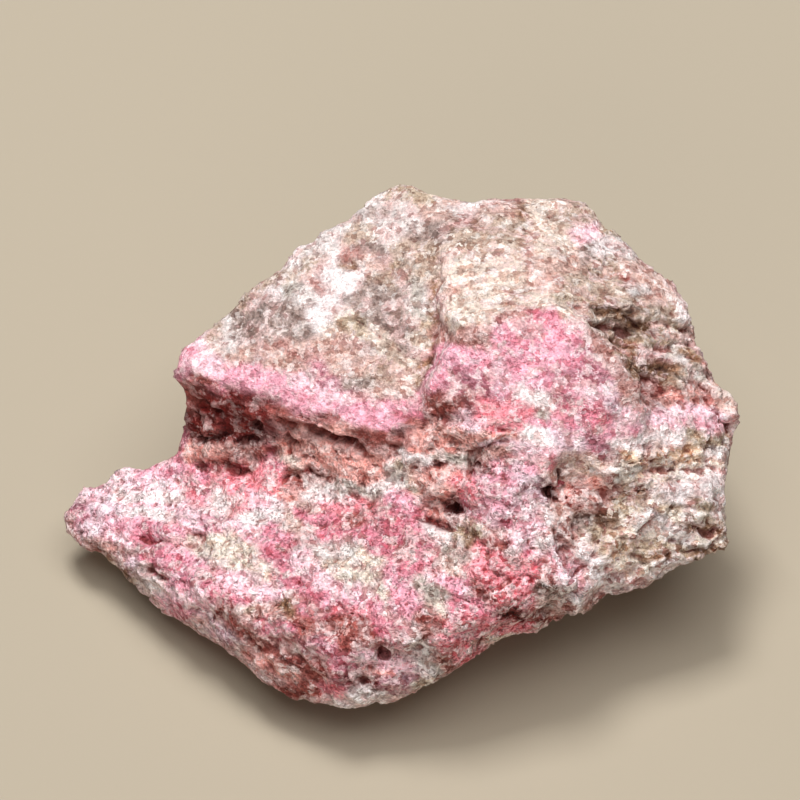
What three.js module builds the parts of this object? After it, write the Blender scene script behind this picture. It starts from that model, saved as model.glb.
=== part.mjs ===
// Thulite: a hand specimen of pink zoisite rock, broken from the outcrop and never cut.
// It formed as one piece, so it is one solid: chunks with flat fracture faces grown together, with
// a deep notch under the upper slab, ledges where the rock splits along its layers, and gas pits.
//
// Millimetres, +Z up. The specimen rests on a flat fracture face at z = 0, and its origin is at
// the centre of its box, on that face. Its best side faces -Y and up.
import * as THREE from "three";
import { ConvexHull } from "three/addons/math/ConvexHull.js";
import { ImprovedNoise } from "three/addons/math/ImprovedNoise.js";

// The best side is seen square on from this angle above the horizon.
const SHOW_ANGLE = THREE.MathUtils.degToRad(50);
const SHOW_HEIGHT = 25; // height of the point where across and up are both 0
const TO_SHOW_SIDE = new THREE.Vector3(0, -Math.cos(SHOW_ANGLE), Math.sin(SHOW_ANGLE));

const FACET = 2.5; // grid step of the finished facets
const JOINED_DEPTH = -0.1; // how deep a grid corner is that only joins its neighbours
const CELL_MARGIN = 0.04; // the part of a grid cell at each side that is kept clear of points
const BASE_LIFT = 0.6; // how much of the lowest material the resting face takes off
const SEAM = 2.2; // how far the hollows between chunks are filled
const GRID_LOW = new THREE.Vector3(-60, -58, -4);
const GRID_HIGH = new THREE.Vector3(62, 44, 56);

// A corner on the best side: how far across and up it shows there, and its height above the table.
function seen(across, up, height) {
  const y = (up - (height - SHOW_HEIGHT) * Math.cos(SHOW_ANGLE)) / Math.sin(SHOW_ANGLE);
  return new THREE.Vector3(across, y, height);
}

// A corner on the back or underside, in the part's own axes.
function hidden(x, y, z) {
  return new THREE.Vector3(x, y, z);
}

const CHUNKS = {
  // The upper slab, whose front edge is the lip over the notch.
  cap: [
    seen(-38.6, 7.4, 33.5), seen(-35.2, 8.4, 34.5), seen(-31, 12.9, 36.5), seen(-22, 17.6, 39),
    seen(-14.8, 27, 42), seen(-11.8, 29.8, 43.2), seen(-7.8, 30, 44.4), seen(8, 33.2, 46),
    seen(8, 16.5, 45.2), seen(6.5, 8.2, 43.2), seen(3, -0.4, 40), seen(-1, -5.6, 37),
    seen(-6, -5.6, 36), seen(-14.9, -4.3, 34.5),
    seen(-22.8, -1, 33.2), seen(-34.6, 2.4, 31.5), seen(-38.6, 4.3, 32), seen(-37, 2, 29),
    seen(-22.8, -2.6, 30.5), seen(-14.9, -6.6, 31.5), seen(-3, -8.4, 33), hidden(-30, 11, 22),
    hidden(-19, 19, 17), hidden(-2, 32, 26), hidden(8, 26, 24),
  ],
  // The knob at the back of the slab.
  knob: [
    seen(-8.4, 29, 44), seen(-7, 33, 45), seen(-5.8, 35.2, 46), seen(-2.1, 37, 46.6),
    seen(2.4, 36.8, 46.6), seen(7, 34, 46.6), seen(8, 28, 46.6), seen(-6, 22, 42.6),
    hidden(-6, 24, 30), hidden(8, 22, 30), hidden(0, 33, 34),
  ],
  // The wall at the back of the notch, which carries the slab.
  neck: [
    seen(-36, -0.6, 27), seen(-35.9, -4.8, 21), seen(-37.4, -9, 18.3), seen(-24, -2.6, 26.5),
    seen(-14.5, -5.6, 30), seen(0, -8.4, 33), seen(-23, -8, 20), hidden(-31, 8, 30),
    hidden(10, 12, 38), hidden(-35, 5, 12), hidden(-26, 18, 12), hidden(0, 34, 20),
    hidden(10, 20, 8),
  ],
  // The long tongue to the left, with the shelf below the notch at its back.
  toe: [
    seen(-57.4, -16.8, 9), seen(-57, -21.4, 7.5), seen(-54, -14, 10.8), seen(-50.6, -12, 12.6),
    seen(-45.4, -11.8, 14.5), seen(-37.6, -11.6, 17.2), seen(-24, -9.6, 22.6),
    seen(-13, -9, 27), seen(0, -10.4, 31.4), seen(23.1, -14, 36.6),
    seen(-47.9, -23.8, 12.3), seen(-33, -31, 17), seen(-16.5, -37.6, 19.6), seen(-9.1, -41, 19.4),
    seen(5, -37.4, 23), seen(16.5, -34, 25), seen(-54.2, -25, 7), seen(-47.8, -29.4, 7),
    seen(-43.2, -32.6, 7), seen(-33.4, -39, 8), seen(-27.4, -43.2, 8), seen(-21.2, -48, 8),
    seen(-15.6, -50.6, 8.5), seen(-7.8, -51, 9), seen(-1.5, -48.6, 11), seen(6, -47, 13),
    seen(11, -42, 15), hidden(-38, -10, 4), hidden(-26, -28, 2), hidden(-8, -42, 3),
    hidden(12, -34, 5), hidden(10, 0, 20),
  ],
  // The ground at the foot of the notch's wall, which rises to the right to meet the slab.
  shelf: [
    seen(-37.2, -10.8, 17.2), seen(-35.8, -6, 19.2), seen(-22.8, -4.4, 26), seen(-15, -5, 30.6),
    seen(0, -8.4, 33), seen(-30, -14.4, 18.4), seen(-8, -17, 26.6), seen(6, -14, 32),
    hidden(-33, 0, 10), hidden(0, 10, 20), hidden(-28, -14, 8), hidden(0, -18, 12),
  ],
  chin: [
    seen(22, -14, 36.6), seen(29.2, -24, 30.8), seen(34.2, -31.6, 19.6), seen(16.5, -34, 25.5),
    seen(5, -37.4, 23), seen(8.7, -43, 14), seen(20.3, -37.8, 16), seen(27.2, -35.2, 17),
    seen(31.2, -33.8, 18), seen(0, -8, 32), hidden(10, -38, 6), hidden(24, -26, 6),
    hidden(20, 0, 20),
  ],
  // A pale shelf of rock that sticks out under the chin.
  sill: [
    seen(8, -41, 15), seen(19, -37, 18), seen(19.6, -37.2, 15), seen(14.2, -39.8, 12.6),
    seen(9, -43.6, 12.4), seen(4, -46, 12), hidden(8, -34, 12), hidden(20, -26, 12),
    hidden(10, -34, 6),
  ],
  // The highest, palest part of the top.
  crown: [
    seen(8, 33.4, 47.2), seen(15, 32.2, 46.8), seen(20.8, 33.6, 46.2), seen(25.2, 34.6, 45.5),
    seen(31.4, 33.2, 44.5), seen(37, 28.2, 43.5), seen(39.8, 23.9, 43), seen(43.6, 20, 42),
    seen(49.2, 15.2, 40.4), seen(7.4, 24.3, 48.4), seen(7, 12, 48.4), seen(13.2, 12, 49.2),
    seen(18.2, 26.4, 48.8), seen(26.7, 15.4, 49.6), seen(39.8, 14.2, 44.8), seen(47.4, 13.2, 41),
    hidden(1, 36, 30), hidden(14, 39, 19), hidden(30, 33, 15), hidden(45, 17, 21),
    hidden(8, 10, 24), hidden(26, 6, 24),
  ],
  // The rounded rose-coloured front of the top, whose right edge stands over a recess.
  boss: [
    seen(6, 8.6, 47.6), seen(13.2, 13, 49.5), seen(18.2, 14.9, 50.4), seen(23.1, 16, 50.8),
    seen(27.4, 15.6, 50.4), seen(32, 13, 49.4), seen(34.6, 10, 48.2), seen(36.8, 6.4, 46.8),
    seen(38.4, 3, 45.2), seen(40, -1.6, 42), seen(35.4, -6.6, 38.8), seen(27.6, -9.4, 38.4),
    seen(19.8, -9, 39), seen(11, -4.2, 41.6), seen(5.4, -1, 42), seen(2.6, -2.2, 41),
    hidden(6, 6, 26), hidden(32, 0, 26), hidden(20, -12, 26),
  ],
  cheek: [
    seen(0, -5, 38), seen(6.6, 0, 41.8), seen(19.8, 0, 43.5), seen(27, -7, 40.4),
    seen(25, -13.6, 37.4), seen(18.8, -17.4, 35.2), seen(11.6, -15.8, 34.6), seen(1.2, -13, 32.6),
    hidden(0, -6, 22), hidden(24, -8, 22), hidden(12, 8, 26),
  ],
  // Layered ground right of the boss, lower than it, ending in the right tip.
  shoulder: [
    seen(28, 13, 44.4), seen(40.5, 13, 42.4), seen(47.8, 12.6, 39.6), seen(48.6, 9, 37.8),
    seen(49, 6.4, 36.8), seen(50.2, 3.4, 35.2), seen(51.4, 0.6, 34), seen(52.4, -2.6, 32),
    seen(34, 2, 39.2), seen(39.6, -1.8, 38.6), seen(50, -5, 33),
    hidden(41, 13, 22), hidden(50, 0, 20), hidden(30, -10, 24), hidden(24, 10, 24),
  ],
  // The right tip, where one layer stands out from the rest.
  spur: [
    seen(49, 0.4, 34.6), seen(57.6, 0, 32.3), seen(57.6, -3, 30.6), seen(49, -4.6, 32.4),
    hidden(44, 0, 30), hidden(46, 2, 22),
  ],
  // The broken grey-and-tan side below the shoulder.
  flank: [
    seen(39.1, -1.4, 39.8), seen(54.2, -2.4, 31), seen(53.4, -5.9, 29), seen(52.8, -9.2, 28),
    seen(52, -12, 27), seen(52.4, -16.5, 25), seen(52.6, -20.1, 24), seen(53.8, -22.4, 23),
    seen(45.8, -24.8, 21.5), seen(42, -29.8, 20), seen(38.5, -29.6, 19.5), seen(34.8, -32.2, 19),
    seen(30.8, -24.8, 27.6), seen(26.4, -17, 33.4), seen(33, -13.2, 35.6), seen(39.6, -8.2, 36.5),
    seen(30, -5, 38.4), hidden(50, -6, 12), hidden(32, -18, 7), hidden(20, 0, 14),
    hidden(43, 6, 14),
  ],
  // A flake that juts from the bottom of the flank.
  flake: [
    seen(43, -22.4, 22.6), seen(55.8, -21.2, 23.4), seen(56.4, -23.4, 22.2), seen(45, -26.2, 20.6),
    hidden(44, -14, 20), hidden(49, -8, 19), hidden(44, -16, 15),
  ],
  // The underside, which narrows to the resting face.
  base: [
    hidden(-31, -12, 0), hidden(-24, -26, 0), hidden(-8, -36, 0), hidden(12, -31, 0),
    hidden(26, -18, 0), hidden(31, 2, 0), hidden(24, 19, 0), hidden(6, 27, 0), hidden(-14, 20, 0),
    hidden(-28, 6, 0), hidden(-38, -8, 8), hidden(-36, 4, 13), hidden(-28, 17, 10),
    hidden(-12, 31, 19), hidden(5, 36, 12), hidden(22, 36, 24), hidden(38, 25, 12),
    hidden(49, 8, 22), hidden(49, -10, 15), hidden(34, -22, 10), hidden(0, -34, 20),
    hidden(30, -18, 24), hidden(-30, -22, 10), hidden(-6, 18, 32), hidden(28, 20, 36),
  ],
  // The middle, which all the others grow from.
  middle: [
    hidden(-26, -4, 4), hidden(-20, 14, 6), hidden(4, 28, 8), hidden(28, 22, 8), hidden(40, 0, 14),
    hidden(26, -16, 8), hidden(0, -34, 6), hidden(-20, -24, 5), hidden(-26, 2, 26),
    hidden(-13, 11, 34), hidden(2, 22, 42), hidden(26, 20, 43), hidden(38, 6, 35),
    hidden(22, -8, 41), hidden(25, -23, 31), hidden(4, -8, 38), hidden(-14, -6, 29),
  ],
  // A rough step on the back left.
  hip: [
    hidden(-35, 3, 20), hidden(-30, 13, 15), hidden(-20, 24, 18), hidden(-11, 30, 13),
    hidden(-24, 14, 24), hidden(-32, 5, 23), hidden(-14, 22, 23), hidden(-12, 16, 10),
    hidden(-26, 6, 8),
  ],
};

// Gas pits and broken-out hollows: [across, up, half width, half height, depth].
const PITS = [
  [8.8, -17, 3.4, 2.6, 3.6], [23.6, -15.6, 3, 2.6, 2.2], [-2.4, -40.8, 2, 2, 3.2],
  [-33.6, -22.6, 3.4, 2.4, 2.4], [-12.5, -12.4, 3.2, 2.2, 2.8], [-26.5, -10.8, 3.2, 2, 2.4],
  [-33, -10.8, 2.8, 2, 2.2], [9.5, -11.2, 4.4, 2.2, 2.6], [3.5, -24.5, 3.8, 2.6, 2],
  [-9, -19.4, 2.8, 2, 1.8], [16.5, -29, 4, 2.4, 1.8], [-22, -33.5, 4.2, 2, 1.8],
  [36.6, 11.4, 4, 2.4, 1.6], [42.8, 3, 4.8, 3.4, 2.6],
];

// A convex solid by its corners, as the flat faces that bound it.
function chunkFrom(corners) {
  const hull = new ConvexHull().setFromPoints(corners);
  return hull.faces.map((face) => new THREE.Plane(face.normal.clone(), -face.constant));
}

function depthIn(planes, point) {
  let depth = -Infinity;
  for (const plane of planes) {
    depth = Math.max(depth, plane.distanceToPoint(point));
  }
  return depth;
}

// The lower of two distances, with the hollow between their surfaces filled.
function grown(a, b) {
  const overlap = Math.max(SEAM - Math.abs(a - b), 0);
  return Math.min(a, b) - (overlap * overlap) / (4 * SEAM);
}

const chunks = Object.values(CHUNKS).map(chunkFrom);
const noise = new ImprovedNoise();

function waves(point, wavelength, shift) {
  return noise.noise(point.x / wavelength + shift, point.y / wavelength - shift, point.z / wavelength);
}

// Straight ridges wander and flat faces undulate, because the point looked up is moved a little.
const [WANDER, WANDER_LENGTH, RIPPLE, RIPPLE_LENGTH] = [1.2, 17, 0.9, 7];
function wandered(point) {
  const moved = point.clone();
  ["x", "y", "z"].forEach((axis, i) => {
    moved[axis] += WANDER * waves(point, WANDER_LENGTH, 11.3 * (i + 1));
    moved[axis] += RIPPLE * waves(point, RIPPLE_LENGTH, 5.7 * (i + 1));
  });
  return moved;
}

// The rock splits along its layers, so where it is broken across them it has low steps.
const LAYERS = new THREE.Vector3(0.1, -0.16, 1).normalize();
const [LAYER, LEDGE] = [6.3, 1.1]; // from step to step, and how far a step stands out
const [LAYER_BEND, BEND_LENGTH] = [0.8, 26]; // how unevenly the layers lie
const [RIGHT_FROM, RIGHT_TO, BACK_FROM, BACK_TO] = [28, 40, 8, 20]; // where the steps fade in
function ledge(point) {
  const layer = point.dot(LAYERS) / LAYER + LAYER_BEND * waves(point, BEND_LENGTH, 3.1);
  const onRight = THREE.MathUtils.smoothstep(point.x, RIGHT_FROM, RIGHT_TO);
  const onBack = THREE.MathUtils.smoothstep(point.y - point.x / 4, BACK_FROM, BACK_TO);
  return LEDGE * (layer - Math.floor(layer) - 0.5) * Math.max(onRight, onBack);
}

// How far a point is outside the stone, before the pits.
function outside(point) {
  const moved = wandered(point);
  return chunks.map((planes) => depthIn(planes, moved)).reduce(grown) - ledge(point);
}

// Where the best side's surface is, for a place that shows there: steps in from in front of it.
const [IN_FRONT, STEPS, NEAR_ENOUGH, STRIDE, LEAST_STRIDE] = [60, 200, 0.05, 0.7, 0.1];
function surfaceAt(across, up) {
  const point = seen(across, up, SHOW_HEIGHT).addScaledVector(TO_SHOW_SIDE, IN_FRONT);
  for (let step = 0; step < STEPS && outside(point) > NEAR_ENOUGH; step += 1) {
    point.addScaledVector(TO_SHOW_SIDE, -Math.max(outside(point) * STRIDE, LEAST_STRIDE));
  }
  return point;
}

const UP_ON_SHOW = new THREE.Vector3(0, Math.sin(SHOW_ANGLE), Math.cos(SHOW_ANGLE));
const pits = PITS.map(([across, up, wide, high, deep]) => ({
  centre: surfaceAt(across, up),
  radii: new THREE.Vector3(wide, high, deep),
}));

function outsidePit({ centre, radii }, point) {
  const from = point.clone().sub(centre);
  const local = new THREE.Vector3(from.x, from.dot(UP_ON_SHOW), from.dot(TO_SHOW_SIDE));
  return (local.divide(radii).length() - 1) * Math.min(radii.x, radii.y, radii.z);
}

function stoneAt(point) {
  return pits.reduce((rock, pit) => Math.max(rock, -outsidePit(pit, point)), outside(point));
}

// Solid corners of a grid square that meet only across its diagonal get a solid corner between
// them, so that no edge of the mesh has more than two faces.
function joinDiagonals(values, strides) {
  const solid = (index) => values[index] < 0;
  let joins = 1;
  while (joins > 0) {
    joins = 0;
    for (let here = 0; here < values.length - strides[1] - strides[2]; here += 1) {
      for (const axis of [0, 1, 2]) {
        const [p, q] = [strides[axis], strides[(axis + 1) % 3]];
        const diagonals = [[here, here + p + q], [here + p, here + q]];
        const [first, second] = diagonals.map((ends) => ends.map(solid));
        if (first[0] === first[1] && second[0] === second[1] && first[0] !== second[0]) {
          const [a, b] = first[0] ? diagonals[1] : diagonals[0];
          values[values[a] < values[b] ? a : b] = JOINED_DEPTH;
          joins += 1;
        }
      }
    }
  }
}

// The surface where a field is zero, as one closed mesh. Each grid cell that it crosses has one
// point, at the mean of the crossings on the cell's edges, and each crossed grid edge has a quad.
function surfaceOf(field, low, high, step) {
  const size = high.clone().sub(low).divideScalar(step).ceil();
  const at = (i, j, k) => i + size.x * (j + size.y * k);
  const place = (i, j, k) => new THREE.Vector3(i, j, k).multiplyScalar(step).add(low);
  const values = new Float32Array(size.x * size.y * size.z);
  const strides = [1, size.x, size.x * size.y];
  const pointOf = new Int32Array(values.length);
  const positions = [];
  const triangles = [];
  const corners = [0, 1, 2, 3, 4, 5, 6, 7].map((c) => [c & 1, (c >> 1) & 1, c >> 2]);
  for (let k = 0; k < size.z; k += 1) {
    for (let j = 0; j < size.y; j += 1) {
      for (let i = 0; i < size.x; i += 1) {
        values[at(i, j, k)] = field(place(i, j, k));
      }
    }
  }
  joinDiagonals(values, strides);
  for (let k = 0; k < size.z - 1; k += 1) {
    for (let j = 0; j < size.y - 1; j += 1) {
      for (let i = 0; i < size.x - 1; i += 1) {
        const mean = new THREE.Vector3();
        let crossings = 0;
        for (const a of corners) {
          for (const axis of [0, 1, 2]) {
            if (a[axis] === 0) {
              const b = a.map((value, other) => (other === axis ? 1 : value));
              const from = values[at(i + a[0], j + a[1], k + a[2])];
              const to = values[at(i + b[0], j + b[1], k + b[2])];
              if (from < 0 !== to < 0) {
                const start = place(i + a[0], j + a[1], k + a[2]);
                mean.add(start.lerp(place(i + b[0], j + b[1], k + b[2]), from / (from - to)));
                crossings += 1;
              }
            }
          }
        }
        if (crossings > 0) {
          const corner = place(i, j, k).addScalar(step / 2);
          const inset = new THREE.Vector3().setScalar((0.5 - CELL_MARGIN) * step);
          mean.divideScalar(crossings).clamp(corner.clone().sub(inset), corner.clone().add(inset));
          pointOf[at(i, j, k)] = positions.length / 3;
          positions.push(...mean.toArray());
        }
      }
    }
  }
  for (let k = 1; k < size.z - 1; k += 1) {
    for (let j = 1; j < size.y - 1; j += 1) {
      for (let i = 1; i < size.x - 1; i += 1) {
        const here = at(i, j, k);
        for (const axis of [0, 1, 2]) {
          const enters = values[here] >= 0;
          if (enters !== values[here + strides[axis]] >= 0) {
            const [p, q] = [strides[(axis + 1) % 3], strides[(axis + 2) % 3]];
            const ring = [here, here - p, here - p - q, here - q].map((cell) => pointOf[cell]);
            const [a, b, c, d] = enters ? ring.reverse() : ring;
            triangles.push(a, b, c, a, c, d);
          }
        }
      }
    }
  }
  const geometry = new THREE.BufferGeometry();
  geometry.setAttribute("position", new THREE.Float32BufferAttribute(positions, 3));
  geometry.setIndex(triangles);
  return geometry;
}

const stone = surfaceOf(stoneAt, GRID_LOW, GRID_HIGH, FACET);

// The lowest points all move up to one level, which makes the resting face flat.
const position = stone.attributes.position;
for (let i = 0; i < position.count; i += 1) {
  position.setZ(i, Math.max(position.getZ(i), BASE_LIFT));
}
stone.computeBoundingBox();
const box = stone.boundingBox;
stone.translate(-(box.min.x + box.max.x) / 2, -(box.min.y + box.max.y) / 2, -box.min.z);
stone.computeVertexNormals();

const thulite = new THREE.Mesh(
  stone,
  new THREE.MeshStandardMaterial({ color: 0xca9e9c, roughness: 0.85, metalness: 0 }),
);
thulite.name = "thulite";

const part = new THREE.Group();
part.add(thulite);
export default part;
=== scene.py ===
"""A thulite hand specimen on a plain pale floor.

The stone keeps the form of its CAD solid. It is meshed finely here and gets the relief of a broken
rock as real geometry: ledges, cracks, gas pits and grains. Minerals are patches on that mesh, and
fine nodes add the flecks in them. Sizes are in millimetres, in the frame's own axes, unless a
comment says metres. Places on the best side are (across, up) on it, and lines there are lists of
such places. "Facing" is how squarely the surface faces the camera: 1 is squarely, 0 is edge on.
"""
import math
from itertools import product

import bpy
import numpy as np
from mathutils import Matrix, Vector


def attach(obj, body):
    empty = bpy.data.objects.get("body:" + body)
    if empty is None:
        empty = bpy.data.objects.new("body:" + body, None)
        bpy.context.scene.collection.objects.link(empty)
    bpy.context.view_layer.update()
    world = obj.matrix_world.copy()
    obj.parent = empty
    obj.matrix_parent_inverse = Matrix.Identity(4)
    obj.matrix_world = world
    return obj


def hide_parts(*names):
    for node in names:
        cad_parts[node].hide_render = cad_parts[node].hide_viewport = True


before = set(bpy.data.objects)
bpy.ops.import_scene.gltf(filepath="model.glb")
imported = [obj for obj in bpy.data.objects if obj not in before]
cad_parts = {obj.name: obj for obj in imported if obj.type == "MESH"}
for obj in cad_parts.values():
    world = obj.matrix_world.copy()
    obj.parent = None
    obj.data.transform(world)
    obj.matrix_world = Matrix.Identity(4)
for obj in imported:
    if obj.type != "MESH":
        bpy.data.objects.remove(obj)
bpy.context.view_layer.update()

MM = 0.001
NODE = "thulite"
PIECE = "thulite_stone"

# The best side, which the camera looks at squarely from this angle above the horizon.
SHOW_ANGLE = math.radians(50)
SHOW_CENTRE = np.array([-0.1, 7.0, 24.4])  # the point that shows at (0, 0)
ACROSS = np.array([1.0, 0.0, 0.0])
UP = np.array([0.0, math.sin(SHOW_ANGLE), math.cos(SHOW_ANGLE)])
TO_SHOW = np.array([0.0, -math.cos(SHOW_ANGLE), math.sin(SHOW_ANGLE)])

# The direction across the rock's layers, and how much thinner across them than along them the
# flecks are, and the minerals of the back.
BEDDING = np.array([0.1, -0.16, 1.0])
BEDDING /= np.linalg.norm(BEDDING)
FLECKS_BEDDED = 1.35
BACK_BEDDED = 2.2


# ---- noise ----

NOISE_SPAN = 1.6  # brings noise to about -1 to 1
CREASE_LOSS = 1.8  # how much weaker each finer size of creased noise is
CREST_LEVEL = 0.3  # how high the sharp crests of broken noise stand
ROLLING = 0.6  # how much plain noise is mixed into it

# Numbers without a pattern, which stir the bits of a cell, and the place of a scattered seed.
AXIS_MIXERS = np.array([0x8DA6B343, 0xD8163841, 0xCB1AB31F], dtype=np.uint32)
SALT_MIXER = 0x9E3779B9
FIRST_MIXER = np.uint32(0x85EBCA6B)
LAST_MIXER = np.uint32(0xC2B2AE35)
NUMBER_MIXER = 7.31
TILT_MIXER = 91.7


def folded(bits, shift):
    return bits ^ (bits >> np.uint32(shift))


def hashed(cells, seed):
    """Three numbers from 0 to 1 for each whole-numbered cell, always the same for a cell and seed."""
    x, y, z = (cells.astype(np.int64).astype(np.uint32) * AXIS_MIXERS).T
    mixed = x ^ y ^ z
    numbers = []
    for salt in range(3):
        bits = mixed + np.uint32((3 * seed + salt) * SALT_MIXER & 0xFFFFFFFF)
        bits = folded(bits, 16) * FIRST_MIXER
        bits = folded(bits, 13) * LAST_MIXER
        numbers.append(folded(bits, 16) / 2.0**32)
    return np.stack(numbers, axis=1)


def noise(points, wavelength, seed):
    """Smooth noise, from about -1 to 1, from random slopes at the corners of cells."""
    scaled = points / wavelength
    cells = np.floor(scaled)
    part = scaled - cells
    fade = part**3 * (part * (part * 6 - 15) + 10)  # from 0 to 1, level at both ends
    total = np.zeros(len(points))
    for corner in product((0, 1), repeat=3):
        corner = np.array(corner)
        slope = hashed(cells + corner, seed) * 2 - 1
        weight = np.prod(np.where(corner == 1, fade, 1 - fade), axis=1)
        total += weight * np.sum(slope * (part - corner), axis=1)
    return total * NOISE_SPAN


def layered(points, wavelength, seed, octaves=3):
    """Noise with finer noise on it."""
    total = np.zeros(len(points))
    for octave in range(octaves):
        total += noise(points, wavelength / 2**octave, seed + octave) / 2**octave
    return total


def creased(points, wavelength, seed, octaves):
    """Noise folded at its middle, from 0 at sharp creases to about 1 between them."""
    total = np.zeros(len(points))
    for octave in range(octaves):
        size = wavelength / 2**octave
        total += np.abs(noise(points, size, seed + octave)) / CREASE_LOSS**octave
    return total


def broken(points, wavelength, seed, octaves, gain=0.6):
    """Noise with sharp crests as well as hollows at each size, as a broken surface has."""
    total = np.zeros(len(points))
    for octave in range(octaves):
        size = wavelength / 2**octave
        crests = CREST_LEVEL - np.abs(noise(points, size, seed + 2 * octave))
        total += gain**octave * (crests + ROLLING * noise(points, size, seed + 2 * octave + 1))
    return total


def warp(points, wavelength, seeds, octaves=3):
    """A shift of each point by noise, one column for each seed."""
    return np.stack([layered(points, wavelength, seed, octaves) for seed in seeds], axis=1)


def facets(points, spacing, slope, rise, seed):
    """Flat breaks around scattered seeds, each tilted and raised its own way."""
    scaled = points / spacing
    home = np.floor(scaled)
    nearest = np.full(len(points), np.inf)
    jitter = np.zeros_like(points)
    away = np.zeros_like(points)
    for offset in product((-1, 0, 1), repeat=3):
        cell = home + np.array(offset)
        moved = hashed(cell, seed)
        off = scaled - cell - moved
        distance = np.sum(off**2, axis=1)
        closer = distance < nearest
        nearest[closer] = distance[closer]
        jitter[closer] = moved[closer]
        away[closer] = off[closer]
    number = (jitter.sum(axis=1) * NUMBER_MIXER) % 1
    tilt = (jitter * TILT_MIXER) % 2 - 1
    return slope * (spacing * np.sum(away * tilt, axis=1)) + rise * (number - 0.5)


def smoothstep(value, low, high):
    """From 0 at low to 1 at high, level at both ends."""
    t = np.clip((value - low) / (high - low), 0, 1)
    return t * t * (3 - 2 * t)


def bell(distance):
    """From 1 at no distance to almost 0 at 2."""
    return np.exp(-(distance**2))


# ---- the mesh ----

VOXEL = 0.43  # edge of the fine mesh before it is thinned
SOFTEN = 26  # rounds of smoothing that take off the CAD facets
TRIANGLES = 196_000


def add_object(name, data):
    thing = bpy.data.objects.new(name, data)
    bpy.context.scene.collection.objects.link(thing)
    return thing


def applied(copy):
    """The mesh of an object with its modifiers applied. The object itself is removed."""
    mesh = bpy.data.meshes.new_from_object(copy.evaluated_get(bpy.context.evaluated_depsgraph_get()))
    bpy.data.objects.remove(copy)
    return mesh


def fine_mesh(node):
    """The CAD solid as a fine, evenly spaced mesh without its facets."""
    copy = add_object("coarse", node.data.copy())
    remesh = copy.modifiers.new("remesh", "REMESH")
    remesh.mode = "VOXEL"
    remesh.voxel_size = VOXEL * MM
    soften = copy.modifiers.new("soften", "SMOOTH")
    soften.factor = 0.5
    soften.iterations = SOFTEN
    return applied(copy)


def thinned(mesh):
    """The mesh with fewer triangles, kept where the surface bends most."""
    mesh.calc_loop_triangles()
    copy = add_object("dense", mesh)
    decimate = copy.modifiers.new("thin", "DECIMATE")
    decimate.ratio = min(1.0, TRIANGLES / len(mesh.loop_triangles))
    decimate.use_collapse_triangulate = True
    return applied(copy)


def read(items, name, width, kind=np.float64):
    values = np.zeros(len(items) * width, dtype=kind)
    items.foreach_get(name, values)
    return values.reshape(-1, width)


def points_of(mesh):
    return read(mesh.vertices, "co", 3) / MM


def edges_of(mesh):
    return read(mesh.edges, "vertices", 2, np.int64)


def move_points(mesh, points):
    mesh.vertices.foreach_set("co", (points * MM).ravel())
    mesh.update()


def blurred(rows, edges, rounds):
    """Rows of values at the mesh's points, averaged with those of their neighbours a few times."""
    a, b = edges.T
    size = len(rows)
    count = np.bincount(a, minlength=size) + np.bincount(b, minlength=size) + 1
    columns = []
    for column in rows.T:
        for _ in range(rounds):
            total = column + np.bincount(a, column[b], size) + np.bincount(b, column[a], size)
            column = total / count
        columns.append(column)
    return np.stack(columns, axis=1)


def smooth_normals(mesh, edges, rounds):
    normals = blurred(read(mesh.vertex_normals, "vector", 3), edges, rounds)
    return normals / np.linalg.norm(normals, axis=1)[:, None]


# ---- places on the best side ----

def on_show(points):
    """Where points show: across, up."""
    away = points - SHOW_CENTRE
    return np.stack([away @ ACROSS, away @ UP], axis=1)


def to_segment(places, start, end):
    """Distance from a segment, how far along it the places are, and their side: left is +1."""
    start, end = np.array(start, float), np.array(end, float)
    run = end - start
    length_squared = max(run @ run, 1e-9)  # start and end may be one place
    along = np.clip((places - start) @ run / length_squared, 0, 1)
    off = places - (start + along[:, None] * run)
    side = np.sign(run[0] * off[:, 1] - run[1] * off[:, 0])
    return np.linalg.norm(off, axis=1), along, side


def to_line(places, line):
    """Distance from a line of places, the share of it already passed, and the side."""
    best = np.full(len(places), np.inf)
    passed = np.zeros(len(places))
    sides = np.ones(len(places))
    for i, (start, end) in enumerate(zip(line, line[1:])):
        distance, along, side = to_segment(places, start, end)
        closer = distance < best
        best[closer] = distance[closer]
        passed[closer] = (i + along[closer]) / (len(line) - 1)
        sides[closer] = side[closer]
    return best, passed, sides


def to_patches(places, patches):
    """Distance to the nearest patch in that patch's radii: under 1 is inside it."""
    best = np.full(len(places), np.inf)
    for x1, y1, x2, y2, radius in patches:
        distance, _, _ = to_segment(places, (x1, y1), (x2, y2))
        best = np.minimum(best, distance / radius)
    return best


def to_oval(places, across, up, half_width, half_height):
    """The square of the distance from an oval's middle: 1 is on its edge."""
    off = (places - (across, up)) / (half_width, half_height)
    return np.sum(off**2, axis=1)


def shares(distances, sharpness):
    """How much each kind counts at each place: the nearest counts most."""
    stack = np.stack(list(distances))
    weights = np.exp(-sharpness * (stack - stack.min(axis=0)))
    return weights / weights.sum(axis=0)


# ---- forms on the best side ----

# The seam between cap and crown, from the top down.
SEAM = [(6, 22.6), (5.9, 19), (5.1, 15.7), (5.6, 11.5), (4.9, 6.9), (3.4, 3.6), (1.3, 0.8)]

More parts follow.
